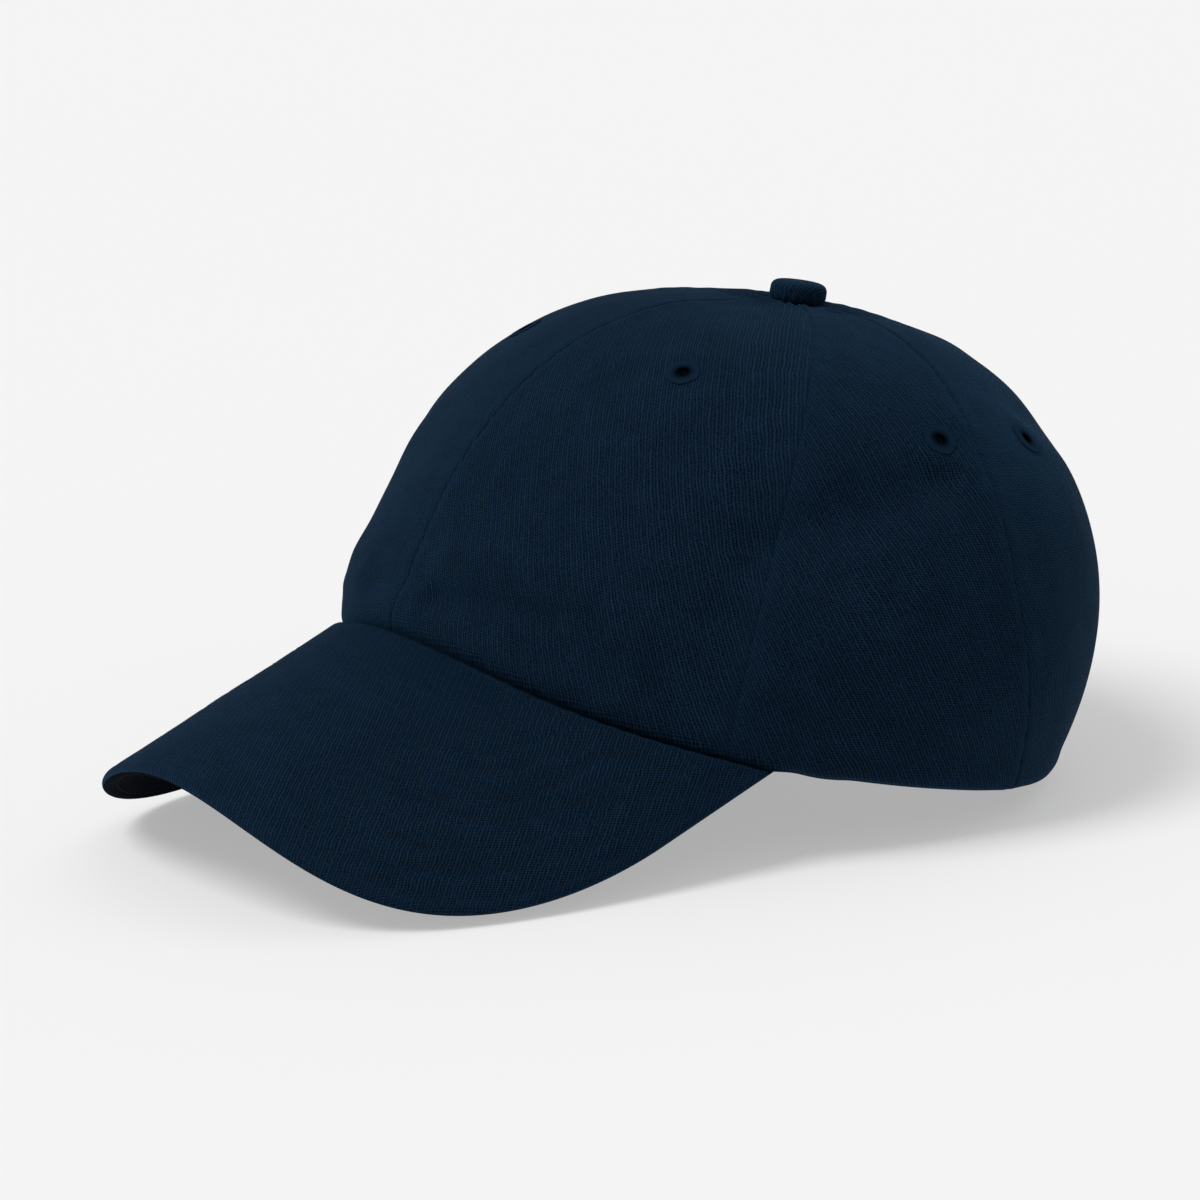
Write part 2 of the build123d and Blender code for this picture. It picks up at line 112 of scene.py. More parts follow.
BUCKLE_ANGLE = 17.0
BUCKLE_BAR = (15.0, 16.6)
BUCKLE_PLATE = (-4.2, -3.4)

# ---- button and eyelets
BUTTON_RADIUS = 7.0
BUTTON_HALF_HEIGHT = 2.6
BUTTON_CENTRE = CROWN_HEIGHT + 3.3
BUTTON_SKIRT = 0.9
BACKING_CENTRE = CROWN_HEIGHT - 3.1
EYELETS = {"front": (37.0, 0.55), "side": (85.0, 0.545), "back": (112.0, 0.57)}
EYELET_HOLE = 1.5
EYELET_OUTER = 4.3
# width of the painted shade round each vent hole
EYELET_SHADE_WIDTH = 1.6
EYELET_CUT = 2.6
EYELET_FLAT = (4.5, 11.0)
EYELET_THREADS = 38
EYELET_RISE = 0.13

REST_PITCH = 12.5

# ---- camera, in the cap frame
CAMERA_AZIMUTH = 55.48
CAMERA_ELEVATION = 7.2
CAMERA_ROLL = 7.74
CAMERA_DISTANCE = 1791.2
CAMERA_AIM = (-35.3, 23.8)
CAMERA_LENS = 216.6
CAMERA_SENSOR = 36.0

# ---- cloth
WALE_PITCH = 0.8
WALE_RELIEF = 0.16
WALE_CONTRAST = 2.1
EDGE_FADE = 5.0
CROWN_WALE = -27.0
VISOR_WALE = 33.0
GRID_PITCH = 1.0
PANEL_SIZE = (156.0, 90.0)
PUCKER_PITCH = 7.5
PUCKER_REACH = 4.0
PUCKER_HEIGHT = 0.09
GATHER_HEIGHT = 0.35
RIM_TUCK = 1.8
REAR_SQUEEZE = 1.2
SEAM_SHARE = 0.08
STITCH_PITCH = 3.0
STITCH_RADIUS = 0.17
STITCH_FILL = 0.86
STITCH_SECTIONS = 7
STITCH_SIDES = 6
VISOR_ROWS = (3.0, 9.5, 16.0, 22.5, 29.0, 35.5, 42.0, 48.5, 55.0)

# ---- ridges and dips along the panels' edges: distance from the edge, width and height
SEAM_RELIEF = ((0.0, 0.4, -0.32), (2.6, 1.6, 0.10))
RIM_RELIEF = ((0.0, 1.0, -1.4), (4.0, 2.4, 0.5))
ARCH_RELIEF = ((0.0, 0.8, -0.4), (3.5, 2.2, 0.15), (7.0, 0.7, -0.15))
EYELET_RELIEF = ((5.0, 1.0, -0.12),)
TAPE_RELIEF = ((0.0, 2.6, 0.75), (4.6, 0.6, -0.176))
# the last table is painted shade, not relief: how dark the crease where the crown meets the visor is
# painted, by distance from the rim, width and amount
RIM_CREASE_SHADE = ((0.0, 0.9, 0.85), (0.0, 3.5, 0.12))

# ---- slack of the soft crown: wave size, seed and height
SLACK = ((34.0, 3.0, 0.9), (11.0, 17.0, 0.22))

# ---- folds of the soft crown: both ends as (angle, rise), half width and height
FOLDS = (
    ((59.0, 0.28), (82.0, 0.46), 8.5, -3.4),
    ((66.0, 0.17), (82.0, 0.26), 11.0, 1.5),
    ((54.0, 0.17), (64.0, 0.16), 6.0, -1.1),
    ((8.0, 0.050), (30.0, 0.085), 3.5, -1.9),
    ((9.0, 0.11), (33.0, 0.145), 5.0, 1.0),
    ((92.0, 0.37), (92.0, 0.46), 5.0, 0.7),
    ((-32.0, 0.29), (-30.0, 0.31), 9.0, 0.9),
    ((-16.0, 0.06), (-26.0, 0.08), 8.0, 1.9),
    ((-56.0, 0.34), (-73.0, 0.50), 8.0, -1.1),
    ((-84.0, 0.24), (-88.0, 0.34), 9.0, 0.8),
    ((-98.0, 0.16), (-90.0, 0.20), 6.0, -0.8),
    ((124.0, 0.62), (140.0, 0.56), 8.0, -1.0),
    ((-128.0, 0.66), (-146.0, 0.60), 8.0, -0.9),
    ((170.0, 0.70), (158.0, 0.76), 7.0, 0.6),
    ((20.0, 0.84), (40.0, 0.80), 8.0, -0.6),
    ((-26.0, 0.035), (5.0, 0.030), 4.5, 1.3),
)

SIDES = {"left": 1, "right": -1}
SHARP = math.radians(50)
LEAN = math.radians(WALL_LEAN[2])
MM = 0.001


# ------------------------------------------------------------------ placing
def standing_matrix():
    """The cap frame's place in the standing frame, found from the washer on the crown's axis."""
    turn = Matrix.Rotation(math.radians(-REST_PITCH), 4, "X")
    low, high = (Vector(corner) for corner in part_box("button_backing"))
    washer = turn @ Vector((0, 0, BACKING_CENTRE * MM))
    shift = (low + high) / 2 - washer
    return Matrix.Translation((0, shift.y, shift.z)) @ turn


STANDING = standing_matrix()
TURN = np.array(STANDING.to_3x3())
SHIFT = np.array(STANDING.translation)


def placed(points):
    """Cap-frame millimetres to standing-frame metres."""
    return np.asarray(points, float) * MM @ TURN.T + SHIFT


# ------------------------------------------------------------------ shape formulas
def three_way(values, c):
    front, side, back = values
    return side + (front - back) / 2 * c + ((front + back) / 2 - side) * c * c


def smooth(low, high, x):
    """0 up to low, 1 from high on, with a smooth step between."""
    share = np.clip((x - low) / (high - low), 0.0, 1.0)
    return share * share * (3 - 2 * share)


def bell(x, width):
    """1 at x = 0, falling away smoothly within about two widths."""
    return np.exp(-((x / width) ** 2))


def rim_plan(angle):
    c = np.cos(np.radians(angle))
    s = np.sin(np.radians(angle))
    front_share = 0.5 + 0.5 * np.tanh(c / RIM_PLAN_BLEND)
    reach = RIM_BACK + (RIM_FRONT - RIM_BACK) * front_share
    return RIM_SIDE * s, -reach * c


def visor_section(turn):
    a = np.radians(turn)
    drop = VISOR_DROP * (1 - np.cos(a)) + VISOR_SHOULDER * np.sin(2 * a) ** 2
    return VISOR_HALF_SPAN * np.sin(a), drop


def visor_point(turn, forward, depth):
    """Points on the visor at a depth below its top face."""
    a = np.radians(turn)
    pitch = math.radians(VISOR_PITCH)
    width, drop = visor_section(turn)
    slope_x = VISOR_HALF_SPAN * np.cos(a)
    slope_drop = VISOR_DROP * np.sin(a) + 2 * VISOR_SHOULDER * np.sin(4 * a)
    length = np.hypot(slope_x, slope_drop)
    width = width - depth * slope_drop / length
    drop = drop + depth * slope_x / length
    y = -RIM_FRONT + drop * math.sin(pitch) - forward * math.cos(pitch)
    z = VISOR_FRONT_HEIGHT - drop * math.cos(pitch) - forward * math.sin(pitch)
    return np.stack(np.broadcast_arrays(width, y, z), -1)


def visor_seam_forward(turn, gap=0.0):
    pitch = math.radians(VISOR_PITCH)
    x, drop = visor_section(turn)
    rim_angle = np.degrees(np.arcsin(np.clip(np.abs(x) / RIM_SIDE, 0, 1)))
    _, rim_y = rim_plan(rim_angle)
    return (-RIM_FRONT + drop * math.sin(pitch) - rim_y + gap) / math.cos(pitch)


def visor_rim_height(angle):
    x, y = rim_plan(angle)
    pitch = math.radians(VISOR_PITCH)
    turn = np.degrees(np.arcsin(np.clip(np.abs(x) / VISOR_HALF_SPAN, 0, 0.9999)))
    _, drop = visor_section(turn)
    forward = (-RIM_FRONT + drop * math.sin(pitch) - y) / math.cos(pitch)
    return VISOR_FRONT_HEIGHT - drop * math.cos(pitch) - forward * math.sin(pitch)


def back_rim_height(angle):
    end = VISOR_END_ANGLE
    step = 0.05
    slope = (visor_rim_height(end) - visor_rim_height(end - step)) / step
    share = (angle - end) / (180 - end)
    start_weight = 2 * share**3 - 3 * share**2 + 1
    slope_weight = (share**3 - 2 * share**2 + share) * (180 - end) * 0.35
    start = visor_rim_height(end) * start_weight
    return start + slope * slope_weight + RIM_BACK_HEIGHT * (1 - start_weight)


def rim_height(angle):
    angle = np.minimum(np.abs(angle), 360 - np.abs(angle))
    free = smooth(VISOR_END_ANGLE - 3, VISOR_END_ANGLE + 9, angle)
    return visor_rim_height(np.minimum(angle, 85)) * (1 - free) + back_rim_height(angle) * free


def crown_skin(angle, rise):
    """Points on the crown's plain outer face: rise is 0 at the rim and 1 at the apex."""
    angle, rise = np.broadcast_arrays(np.asarray(angle, float), np.asarray(rise, float))
    c = np.cos(np.radians(angle))
    lean = np.radians(three_way(WALL_LEAN, c))
    wall = three_way(WALL_REACH, c)
    top = three_way(TOP_REACH, c)
    x, y = rim_plan(angle)
    radius = np.hypot(x, y)
    height = rim_height(angle)
    left = 1 - rise
    weights = (left**3, 3 * rise * left**2, 3 * rise**2 * left, rise**3)
    top_z = CROWN_HEIGHT - top * math.tan(math.radians(TOP_SLOPE))
    r = weights[0] * radius + weights[1] * (radius + wall * np.sin(lean)) + weights[2] * top
    z = weights[0] * height + weights[1] * (height + wall * np.cos(lean))
    z = z + weights[2] * top_z + weights[3] * CROWN_HEIGHT
    return np.stack([x / radius * r, y / radius * r, z], -1)


def unit(v):
    return v / np.maximum(np.linalg.norm(v, axis=-1, keepdims=True), 1e-9)


def crown_normal(angle, rise):
    step = 0.3
    around = crown_skin(angle + step, rise) - crown_skin(angle - step, rise)
    upward = crown_skin(angle, rise + step / 90) - crown_skin(angle, rise - step / 90)
    return unit(np.cross(around, upward))


def front_side_seam(rise):
    return FRONT_SIDE_SEAM + FRONT_SIDE_TURN * rise


def side_back_seam(rise):
    return SIDE_BACK_SEAM - SIDE_BACK_BOW * np.sin(math.pi * rise)


def outline_distance(turn, forward, inset):
    """Distance in from the visor's outline, itself inset, to first order."""
    arc = math.radians(VISOR_HALF_SPAN)
    full_turn = VISOR_TURN - inset / arc
    reach = VISOR_REACH - inset
    past = np.maximum(forward - VISOR_SHOULDER_REACH, 0)
    side = np.abs(turn) / full_turn
    power = VISOR_OUTLINE_POWER
    level = side**power + (past / reach) ** 2
    across = power * side ** (power - 1) / (full_turn * arc)
    along = 2 * past / reach**2
    return np.maximum(1 - level, 0) / np.maximum(np.hypot(across, along), 1e-6)


# ------------------------------------------------------------------ mesh helpers
def grid_faces(rows, columns, flip=False, closed=False):
    """Faces between rows of points, each row joined up into a ring if closed."""
    faces = []
    for i in range(rows - 1):
        low, high = i * columns, (i + 1) * columns
        for j in range(columns if closed else columns - 1):
            k = (j + 1) % columns
            quad = (low + j, low + k, high + k, high + j)
            faces.append(quad[::-1] if flip else quad)
    return faces


def bar_faces(rows, columns, start=0):
    """Faces of a solid bar: rings of points with a cap on each end."""
    last = (rows - 1) * columns
    faces = grid_faces(rows, columns, closed=True)
    faces.append(tuple(range(columns))[::-1])
    faces.append(tuple(range(last, last + columns)))
    return [tuple(start + corner for corner in face) for face in faces]


def new_piece(name, points, faces, material, cloth=None, crease_shade=None):
    """Object from cap-frame points. cloth holds each point's place on its flat cut, in mm.

    The last argument is painted shade: 1 where a point lies deep in a seam's crease and 0 in the open,
    darkening the cloth's colour there.
    """
    mesh = bpy.data.meshes.new(name)
    mesh.from_pydata(placed(np.reshape(points, (-1, 3))).tolist(), [], faces)
    if cloth is not None:
        layer = mesh.attributes.new("cloth", "FLOAT_VECTOR", "POINT")
        layer.data.foreach_set("vector", np.asarray(cloth, np.float32).ravel())
    if crease_shade is not None:
        layer = mesh.attributes.new("painted_crease_shade", "FLOAT", "POINT")
        layer.data.foreach_set("value", np.asarray(crease_shade, np.float32).ravel())
    mesh.polygons.foreach_set("use_smooth", [True] * len(mesh.polygons))
    mesh.materials.append(material)
    mesh.update()
    piece = bpy.data.objects.new(name, mesh)
    bpy.context.collection.objects.link(piece)
    return piece


def apply_modifiers(piece):
    graph = bpy.context.evaluated_depsgraph_get()
    mesh = bpy.data.meshes.new_from_object(piece.evaluated_get(graph))
    piece.modifiers.clear()
    old = piece.data
    piece.data = mesh
    bpy.data.meshes.remove(old)


def thicken(piece, thickness, offset=-1.0):
    """Give a sheet its cloth thickness, inwards from its outer face."""
    solid = piece.modifiers.new("cloth", "SOLIDIFY")
    solid.thickness = thickness * MM
    solid.offset = offset
    solid.use_even_offset = False
    solid.use_rim = True
    apply_modifiers(piece)


def sheet_piece(name, grid, material, cloth, thickness, flip=False, crease_shade=None):
    rows, columns = grid.shape[:2]
    faces = grid_faces(rows, columns, flip)
    piece = new_piece(name, grid, faces, material, cloth, crease_shade)
    thicken(piece, thickness)
    return piece


def path_lengths(points):
    gaps = np.linalg.norm(np.diff(points, axis=0), axis=-1)
    return np.concatenate([[0.0], np.cumsum(gaps)])


def resampled(points, count):
    """The same path with a count of evenly spaced points."""
    along = path_lengths(points)
    where = np.linspace(0, along[-1], count)
    return np.stack([np.interp(where, along, points[:, k]) for k in range(points.shape[1])], -1)


def even_points(points, pitch):
    """Points spaced evenly along a path, about a pitch apart."""
    return resampled(points, max(2, int(round(path_lengths(points)[-1] / pitch)) + 1))


# ------------------------------------------------------------------ stitches
def stitch_mesh(centre, along, out, length, radius, sink):
    """One bar of thread that dips into the cloth at both ends."""
    side = np.cross(out, along)
    points = []
    for i in range(STITCH_SECTIONS):
        share = -1 + 2 * i / (STITCH_SECTIONS - 1)
        fat = radius * math.sqrt(max(1 - share**4, 0.04))
        lift = -sink - radius * 1.6 * share**4
        middle = centre + along * (share * length / 2) + out * lift
        for k in range(STITCH_SIDES):
            a = 2 * math.pi * k / STITCH_SIDES
            points.append(middle + (side * math.cos(a) + out * 0.75 * math.sin(a)) * fat)
    return points


def even_row(points, normals, pitch):
    """Marks and outward directions spaced evenly along a stitched row."""
    along = path_lengths(points)
    count = max(2, int(round(along[-1] / pitch)) + 1)
    where = np.linspace(0, along[-1], count)
    marks = np.stack([np.interp(where, along, points[:, k]) for k in range(3)], -1)
    out = np.stack([np.interp(where, along, normals[:, k]) for k in range(3)], -1)
    return marks, unit(out)


def stitch_rows(name, rows, material, pitch=STITCH_PITCH, radius=STITCH_RADIUS, sink=0.03):
    """Rows of lockstitch along paths, each given as points and outward directions."""
    points = []
    faces = []
    for path, normals in rows:
        marks, out = even_row(path, normals, pitch)
        for i in range(len(marks) - 1):
            along = unit(marks[i + 1] - marks[i])
            middle_out = unit(out[i] + out[i + 1])
            middle_out = unit(middle_out - along * np.dot(middle_out, along))
            length = np.linalg.norm(marks[i + 1] - marks[i]) * STITCH_FILL
            centre = (marks[i] + marks[i + 1]) / 2
            faces += bar_faces(STITCH_SECTIONS, STITCH_SIDES, len(points))
            points += stitch_mesh(centre, along, middle_out, length, radius, sink)
    return new_piece(name, points, faces, material)


def path_tree(rows, step=0.5):
    marks = np.concatenate([even_points(path, step) for path in rows])
    tree = KDTree(len(marks))
    for i, mark in enumerate(marks):
        tree.insert(mark, i)
    tree.balance()
    return tree


def groove(grid, tree, depth, width):
    """Depth of the dimple that a row of stitches pulls into the cloth."""
    flat = grid.reshape(-1, 3)
    gaps = np.array([tree.find(point)[2] for point in flat])
    return (depth * bell(gaps, width)).reshape(grid.shape[:2])


# ------------------------------------------------------------------ materials
class Finish:
    """A node material on one Principled shader, with short names for the nodes it uses."""

    def __init__(self, name, roughness, **constants):
        self.material = bpy.data.materials.new(name)
        self.material.use_nodes = True
        self.tree = self.material.node_tree
        self.tree.nodes.clear()
        self.shader = self.tree.nodes.new("ShaderNodeBsdfPrincipled")
        output = self.tree.nodes.new("ShaderNodeOutputMaterial")
        self.tree.links.new(self.shader.outputs[0], output.inputs["Surface"])
        self.shader.inputs["Roughness"].default_value = roughness
        for label, value in constants.items():
            self.shader.inputs[label.replace("_", " ")].default_value = value

    def attribute(self, name, output="Vector"):
        return self.node("ShaderNodeAttribute", attribute_name=name).outputs[output]

    def split(self, vector):
        return self.node("ShaderNodeSeparateXYZ", [(0, vector)]).outputs

    def object_place(self):
        return self.node("ShaderNodeTexCoord").outputs["Object"]

    def node(self, kind, inputs=(), **settings):
        node = self.tree.nodes.new(kind)
        for label, value in settings.items():
            setattr(node, label, value)
        for key, value in inputs:
            if isinstance(value, bpy.types.NodeSocket):
                self.tree.links.new(value, node.inputs[key])
            else:
                node.inputs[key].default_value = value
        return node

    def math(self, operation, *values):
        node = self.node("ShaderNodeMath", list(enumerate(values)), operation=operation)
        return node.outputs[0]

    def wave(self, cycles):
        """0 to 1 and back once per cycle."""
        turn = self.math("COSINE", self.math("MULTIPLY", cycles, 2 * math.pi))
        return self.math("MULTIPLY_ADD", turn, 0.5, 0.5)

    def noise(self, vector, scale, detail=2.0):
        inputs = [("Vector", vector), ("Scale", scale), ("Detail", detail)]
        return self.node("ShaderNodeTexNoise", inputs).outputs["Fac"]

    def mix(self, share, first, second):
        """Colour between two colours."""
        return self.blend("MIX", share, first, second)

    def blend(self, blend_type, share, first, second):
        """Colour from two colours, through the colour sockets of a mix node."""
        inputs = [(0, share), (6, first), (7, second)]
        node = self.node("ShaderNodeMix", inputs, data_type="RGBA", blend_type=blend_type)
        return node.outputs[2]

    def colour(self, socket):
        self.tree.links.new(socket, self.shader.inputs["Base Color"])

    def roughness(self, socket):
        self.tree.links.new(socket, self.shader.inputs["Roughness"])

    def bump(self, height, distance, strength=1.0):
        inputs = [("Height", height), ("Distance", distance * MM), ("Strength", strength)]
        bump = self.node("ShaderNodeBump", inputs)
        self.tree.links.new(bump.outputs[0], self.shader.inputs["Normal"])


def grey(level):
    return (level, level, level, 1.0)


def tint(colour, factor):
    return tuple(min(c * factor, 1.0) for c in colour) + (1.0,)


NAVY = (0.0035, 0.0112, 0.0245)
# the visor's underside is the same navy cloth, painted much darker as shade
UNDER_VISOR_SHADED_NAVY = tuple(0.22 * c for c in NAVY)
SHEEN_TINT = (0.1, 0.5, 1.0, 1.0)


def twill_finish(name, colour, wale, pitch=WALE_PITCH, sheen=0.075, shine=0.03):
    """Cotton twill: slanted wales of short floats, with slubs, fading at edges and a soft sheen, with
    painted light and shade on the wales' ridges and valleys and painted shade in seam creases.
    """
    f = Finish(name, 0.92, Sheen_Weight=sheen, Sheen_Roughness=0.45, Specular_IOR_Level=shine)
    f.shader.inputs["Sheen Tint"].default_value = SHEEN_TINT
    place = f.attribute("cloth")
    split = f.split(place)
    a = math.radians(wale)
    slub = f.noise(place, 0.16, 2.0)
    sideways = f.math("MULTIPLY_ADD", split[1], -math.sin(a), f.math("MULTIPLY", split[0], math.cos(a)))
    along = f.math("MULTIPLY_ADD", split[1], math.cos(a), f.math("MULTIPLY", split[0], math.sin(a)))
    wander = f.math("MULTIPLY_ADD", slub, 1.2, sideways)
    cycles = f.math("DIVIDE", wander, pitch)
    wales = f.wave(cycles)
    pairs = f.wave(f.math("MULTIPLY", cycles, 0.5))
    floats = f.wave(f.math("ADD", f.math("DIVIDE", along, pitch * 0.8), f.math("MULTIPLY", cycles, 0.5)))
    fuzz = f.math("SUBTRACT", f.noise(place, 1.9, 3.0), 0.5)
    height = f.math("MULTIPLY_ADD", pairs, 0.16, f.math("MULTIPLY", wales, 0.5))
    height = f.math("MULTIPLY_ADD", floats, 0.34, height)
    height = f.math("MULTIPLY_ADD", fuzz, 1.3, height)
    broad = f.math("MULTIPLY", f.noise(place, 0.04), 0.45)
    fade = f.math("MULTIPLY_ADD", f.noise(place, 0.16, 4.0), 0.55, broad)
    base = f.mix(fade, tint(colour, 0.55), tint(colour, 1.45))
    # painted light and shade of the weave: colour lighter on the wales' ridges and darker in their
    # valleys, following the bump's height
    weave_light_and_shade = f.math("MULTIPLY_ADD", height, WALE_CONTRAST, 1.0 - 0.5 * WALE_CONTRAST)
    woven = f.blend("MULTIPLY", 1.0, base, weave_light_and_shade)
    from_edge = f.math("SMOOTH_MIN", f.math("DIVIDE", split[2], EDGE_FADE), 1.0, 0.2)
    faded = f.mix(from_edge, tint(colour, 1.5), woven)
    # painted shade: the cloth's colour darkens towards a near-black tint where a point lies in a seam's
    # crease
    painted_crease_shade = f.attribute("painted_crease_shade", "Fac")
    f.colour(f.mix(painted_crease_shade, f.mix(0.75, faded, woven), tint(colour, 0.1)))
    f.bump(height, WALE_RELIEF)
    return f.material


def thread_finish(name, colour):
    """Stitching thread: two plies twisted together, a little glossier than the cloth."""
    f = Finish(name, 0.7, Sheen_Weight=0.04, Specular_IOR_Level=0.06)
    f.shader.inputs["Sheen Tint"].default_value = SHEEN_TINT
    place = f.object_place()
    plies = f.noise(place, 2600.0, 1.0)
    f.colour(f.mix(plies, tint(colour, 0.7), tint(colour, 1.5)))
    f.bump(plies, 0.08, 0.6)
    return f.material


def satin_thread_finish(name, colour):
    """Satin stitches lying outwards from a vent hole, with painted shade where they turn down into it.
    """
    f = Finish(name, 0.92, Sheen_Weight=0.05, Sheen_Roughness=0.45, Specular_IOR_Level=0.02)
    f.shader.inputs["Sheen Tint"].default_value = SHEEN_TINT
    place = f.attribute("cloth")
    split = f.split(place)
    strands = f.noise(place, 2.2, 2.0)
    # painted shade: near-black at the hole's edge, fading to the lit thread colour over a band round it
    out_of_hole_shade = f.math("DIVIDE", f.math("SUBTRACT", split[1], EYELET_HOLE), EYELET_SHADE_WIDTH)
    lit = f.mix(strands, tint(colour, 0.8), tint(colour, 1.6))
    f.colour(f.mix(out_of_hole_shade, tint(colour, 0.05), lit))
    f.bump(strands, 0.08, 0.6)
    return f.material


def woven_tape_finish(name, colour):
    """Plain-woven tape: warp and weft threads over and under in a fine grid."""
    f = Finish(name, 0.85, Sheen_Weight=0.05, Specular_IOR_Level=0.06)
    place = f.attribute("cloth")
    split = f.split(place)
    warp = f.wave(f.math("DIVIDE", split[0], 0.5))
    weft = f.wave(f.math("DIVIDE", split[1], 0.42))
    weave = f.math("MULTIPLY", warp, weft)
    weave = f.math("MULTIPLY_ADD", f.noise(place, 2.5), 0.4, weave)
    f.colour(f.mix(weave, tint(colour, 0.65), tint(colour, 1.4)))
    f.bump(weave, 0.10)
    return f.material


def foam_finish(name):
    f = Finish(name, 0.95)
    place = f.object_place()
    cells = f.node("ShaderNodeTexVoronoi", [("Vector", place), ("Scale", 1400.0)]).outputs["Distance"]
    f.colour(f.mix(cells, (0.62, 0.62, 0.6, 1.0), (0.8, 0.8, 0.77, 1.0)))
    f.bump(cells, 0.2)
    return f.material


def board_finish(name):
    """Moulded plastic stiffener with a fine spark-eroded grain."""
    f = Finish(name, 0.5, Specular_IOR_Level=0.4)
    place = f.object_place()
    grain = f.noise(place, 900.0, 4.0)
    f.colour(f.mix(grain, grey(0.55), grey(0.68)))
    f.bump(grain, 0.05)
    return f.material


def metal_finish(name, colour, streaks):
    """Brushed and lightly tarnished metal. streaks stretch the brushing along one axis."""
    f = Finish(name, 0.34, Metallic=1.0)
    place = f.object_place()
    stretched = f.node("ShaderNodeMapping", [("Vector", place), ("Scale", streaks)]).outputs[0]
    brushing = f.noise(stretched, 900.0, 3.0)
    tarnish = f.noise(place, 140.0, 4.0)
    spread = f.math("MULTIPLY_ADD", tarnish, 0.7, f.math("MULTIPLY", brushing, 0.3))
    f.colour(f.mix(spread, tint(colour, 0.45), tint(colour, 1.1)))
    f.roughness(f.math("MULTIPLY_ADD", spread, -0.25, 0.5))
    f.bump(brushing, 0.02, 0.5)
    return f.material


BRASS = (0.52, 0.38, 0.17)
STEEL = (0.6, 0.6, 0.58)
crown_cloth = twill_finish("navy_twill_crown", NAVY, CROWN_WALE)
visor_cloth = twill_finish("navy_twill_visor", NAVY, VISOR_WALE)
# the under cover and its thread use the navy with painted shade
under_visor_shaded_cloth = twill_finish(
    "navy_twill_under_visor_painted_shade", UNDER_VISOR_SHADED_NAVY, VISOR_WALE, sheen=0.0, shine=0.015
)
band_cloth = twill_finish("navy_twill_band", NAVY, -45.0, pitch=0.7)
strap_cloth = twill_finish("navy_twill_strap", NAVY, -60.0, pitch=0.7)
button_cloth = twill_finish("navy_twill_button", tuple(1.2 * c for c in NAVY), -30.0)
tape_cloth = woven_tape_finish("navy_seam_tape", NAVY)
label_cloth = woven_tape_finish("blank_label_weave", (0.28, 0.28, 0.27))
thread = thread_finish("navy_thread", NAVY)
under_visor_shaded_thread = thread_finish("navy_under_visor_thread_painted_shade", UNDER_VISOR_SHADED_NAVY)
eyelet_thread = satin_thread_finish("navy_eyelet_thread", NAVY)
foam = foam_finish("band_foam")
board_plastic = board_finish("visor_board_plastic")
brass = metal_finish("antique_brass", BRASS, (1.0, 1.0, 14.0))
steel = metal_finish("stud_steel", STEEL, (1.0, 14.0, 1.0))


def place_piece(piece, replaced=(), body="crown"):
    """Attach a finished piece to the body it rides on and hide the CAD nodes it stands for."""
    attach(piece, body)
    if replaced:
        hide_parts(*replaced)
    return piece


# ------------------------------------------------------------------ crown
def ripple(points, size, seed):
    """Smooth unevenness of about 1 high, with waves of a size in mm."""
    flat = (points.reshape(-1, 3) / size + seed).tolist()
    values = np.array([noise.noise(Vector(point)) for point in flat])
    return values.reshape(points.shape[:-1])


def rear_squeeze(angle, rise):
    """How far the back of the rim is drawn in by the strap."""
    return REAR_SQUEEZE * smooth(112, 135, np.abs(angle)) * (1 - smooth(0.0, 0.35, rise))


def crown_lift(angle, rise):
    """How far folds and slack lift the cloth off the crown's plain shape."""
    skin = crown_skin(angle, rise)
    lift = sum(height * ripple(skin, size, seed) for size, seed, height in SLACK)
    for start, end, width, height in FOLDS:
        first, last = crown_skin(*start), crown_skin(*end)
        along = last - first
        share = np.clip(((skin - first) @ along) / (along @ along), 0, 1)
        gap = np.linalg.norm(skin - (first + share[..., None] * along), axis=-1)
        lift = lift + height * bell(gap, width)
    around = np.abs(angle)
    loose_rim = 0.3 * smooth(74, 84, around) * (1 - smooth(104, 118, around))
    loose = loose_rim + (1 - loose_rim) * smooth(0.0, 0.05, rise)
    beside_arch = 0.85 * smooth(116, 128, around) * (1 - smooth(0.45, 0.6, rise))
    under_button = smooth(0.86, 0.97, rise)
    return lift * loose * (1 - beside_arch) * (1 - under_button) - rear_squeeze(angle, rise)


def on_crown(angle, rise, inset):
    """Points on the draped crown, at an inset below its outer face."""
    lift = crown_lift(angle, rise) - np.asarray(inset, float)
    return crown_skin(angle, rise) + crown_normal(angle, rise) * lift[..., None]


def flat_place(angle, rise, centre, edge):
    """Each point's place on the flat cut: across and along its centre line, and edge distance."""
    rises = np.linspace(0, 1, 161)
    lengths = path_lengths(crown_skin(centre(rises), rises))
    skin = crown_skin(angle, rise)
    across = np.radians(angle - centre(rise)) * np.hypot(skin[..., 0], skin[..., 1])
    return np.stack([across, np.interp(rise, rises, lengths), edge], -1)


def solve_on_crown(x, z):
    """Angle and rise of the points at the back of the crown that have an x and a height."""
    passes, halvings = 14, 22
    ones = np.ones(len(x))
    angle = 165.0 * ones
    for _ in range(passes):
        low, high = -0.02 * ones, 0.7 * ones
        for _ in range(halvings):
            rise = (low + high) / 2
            below = crown_skin(angle, rise)[:, 2] < z
            low, high = np.where(below, rise, low), np.where(below, high, rise)
        low, high = 100.0 * ones, 180.0 * ones
        for _ in range(halvings):
            angle = (low + high) / 2
            outside = crown_skin(angle, rise)[:, 0] > x
            low, high = np.where(outside, angle, low), np.where(outside, high, angle)
    return angle, rise


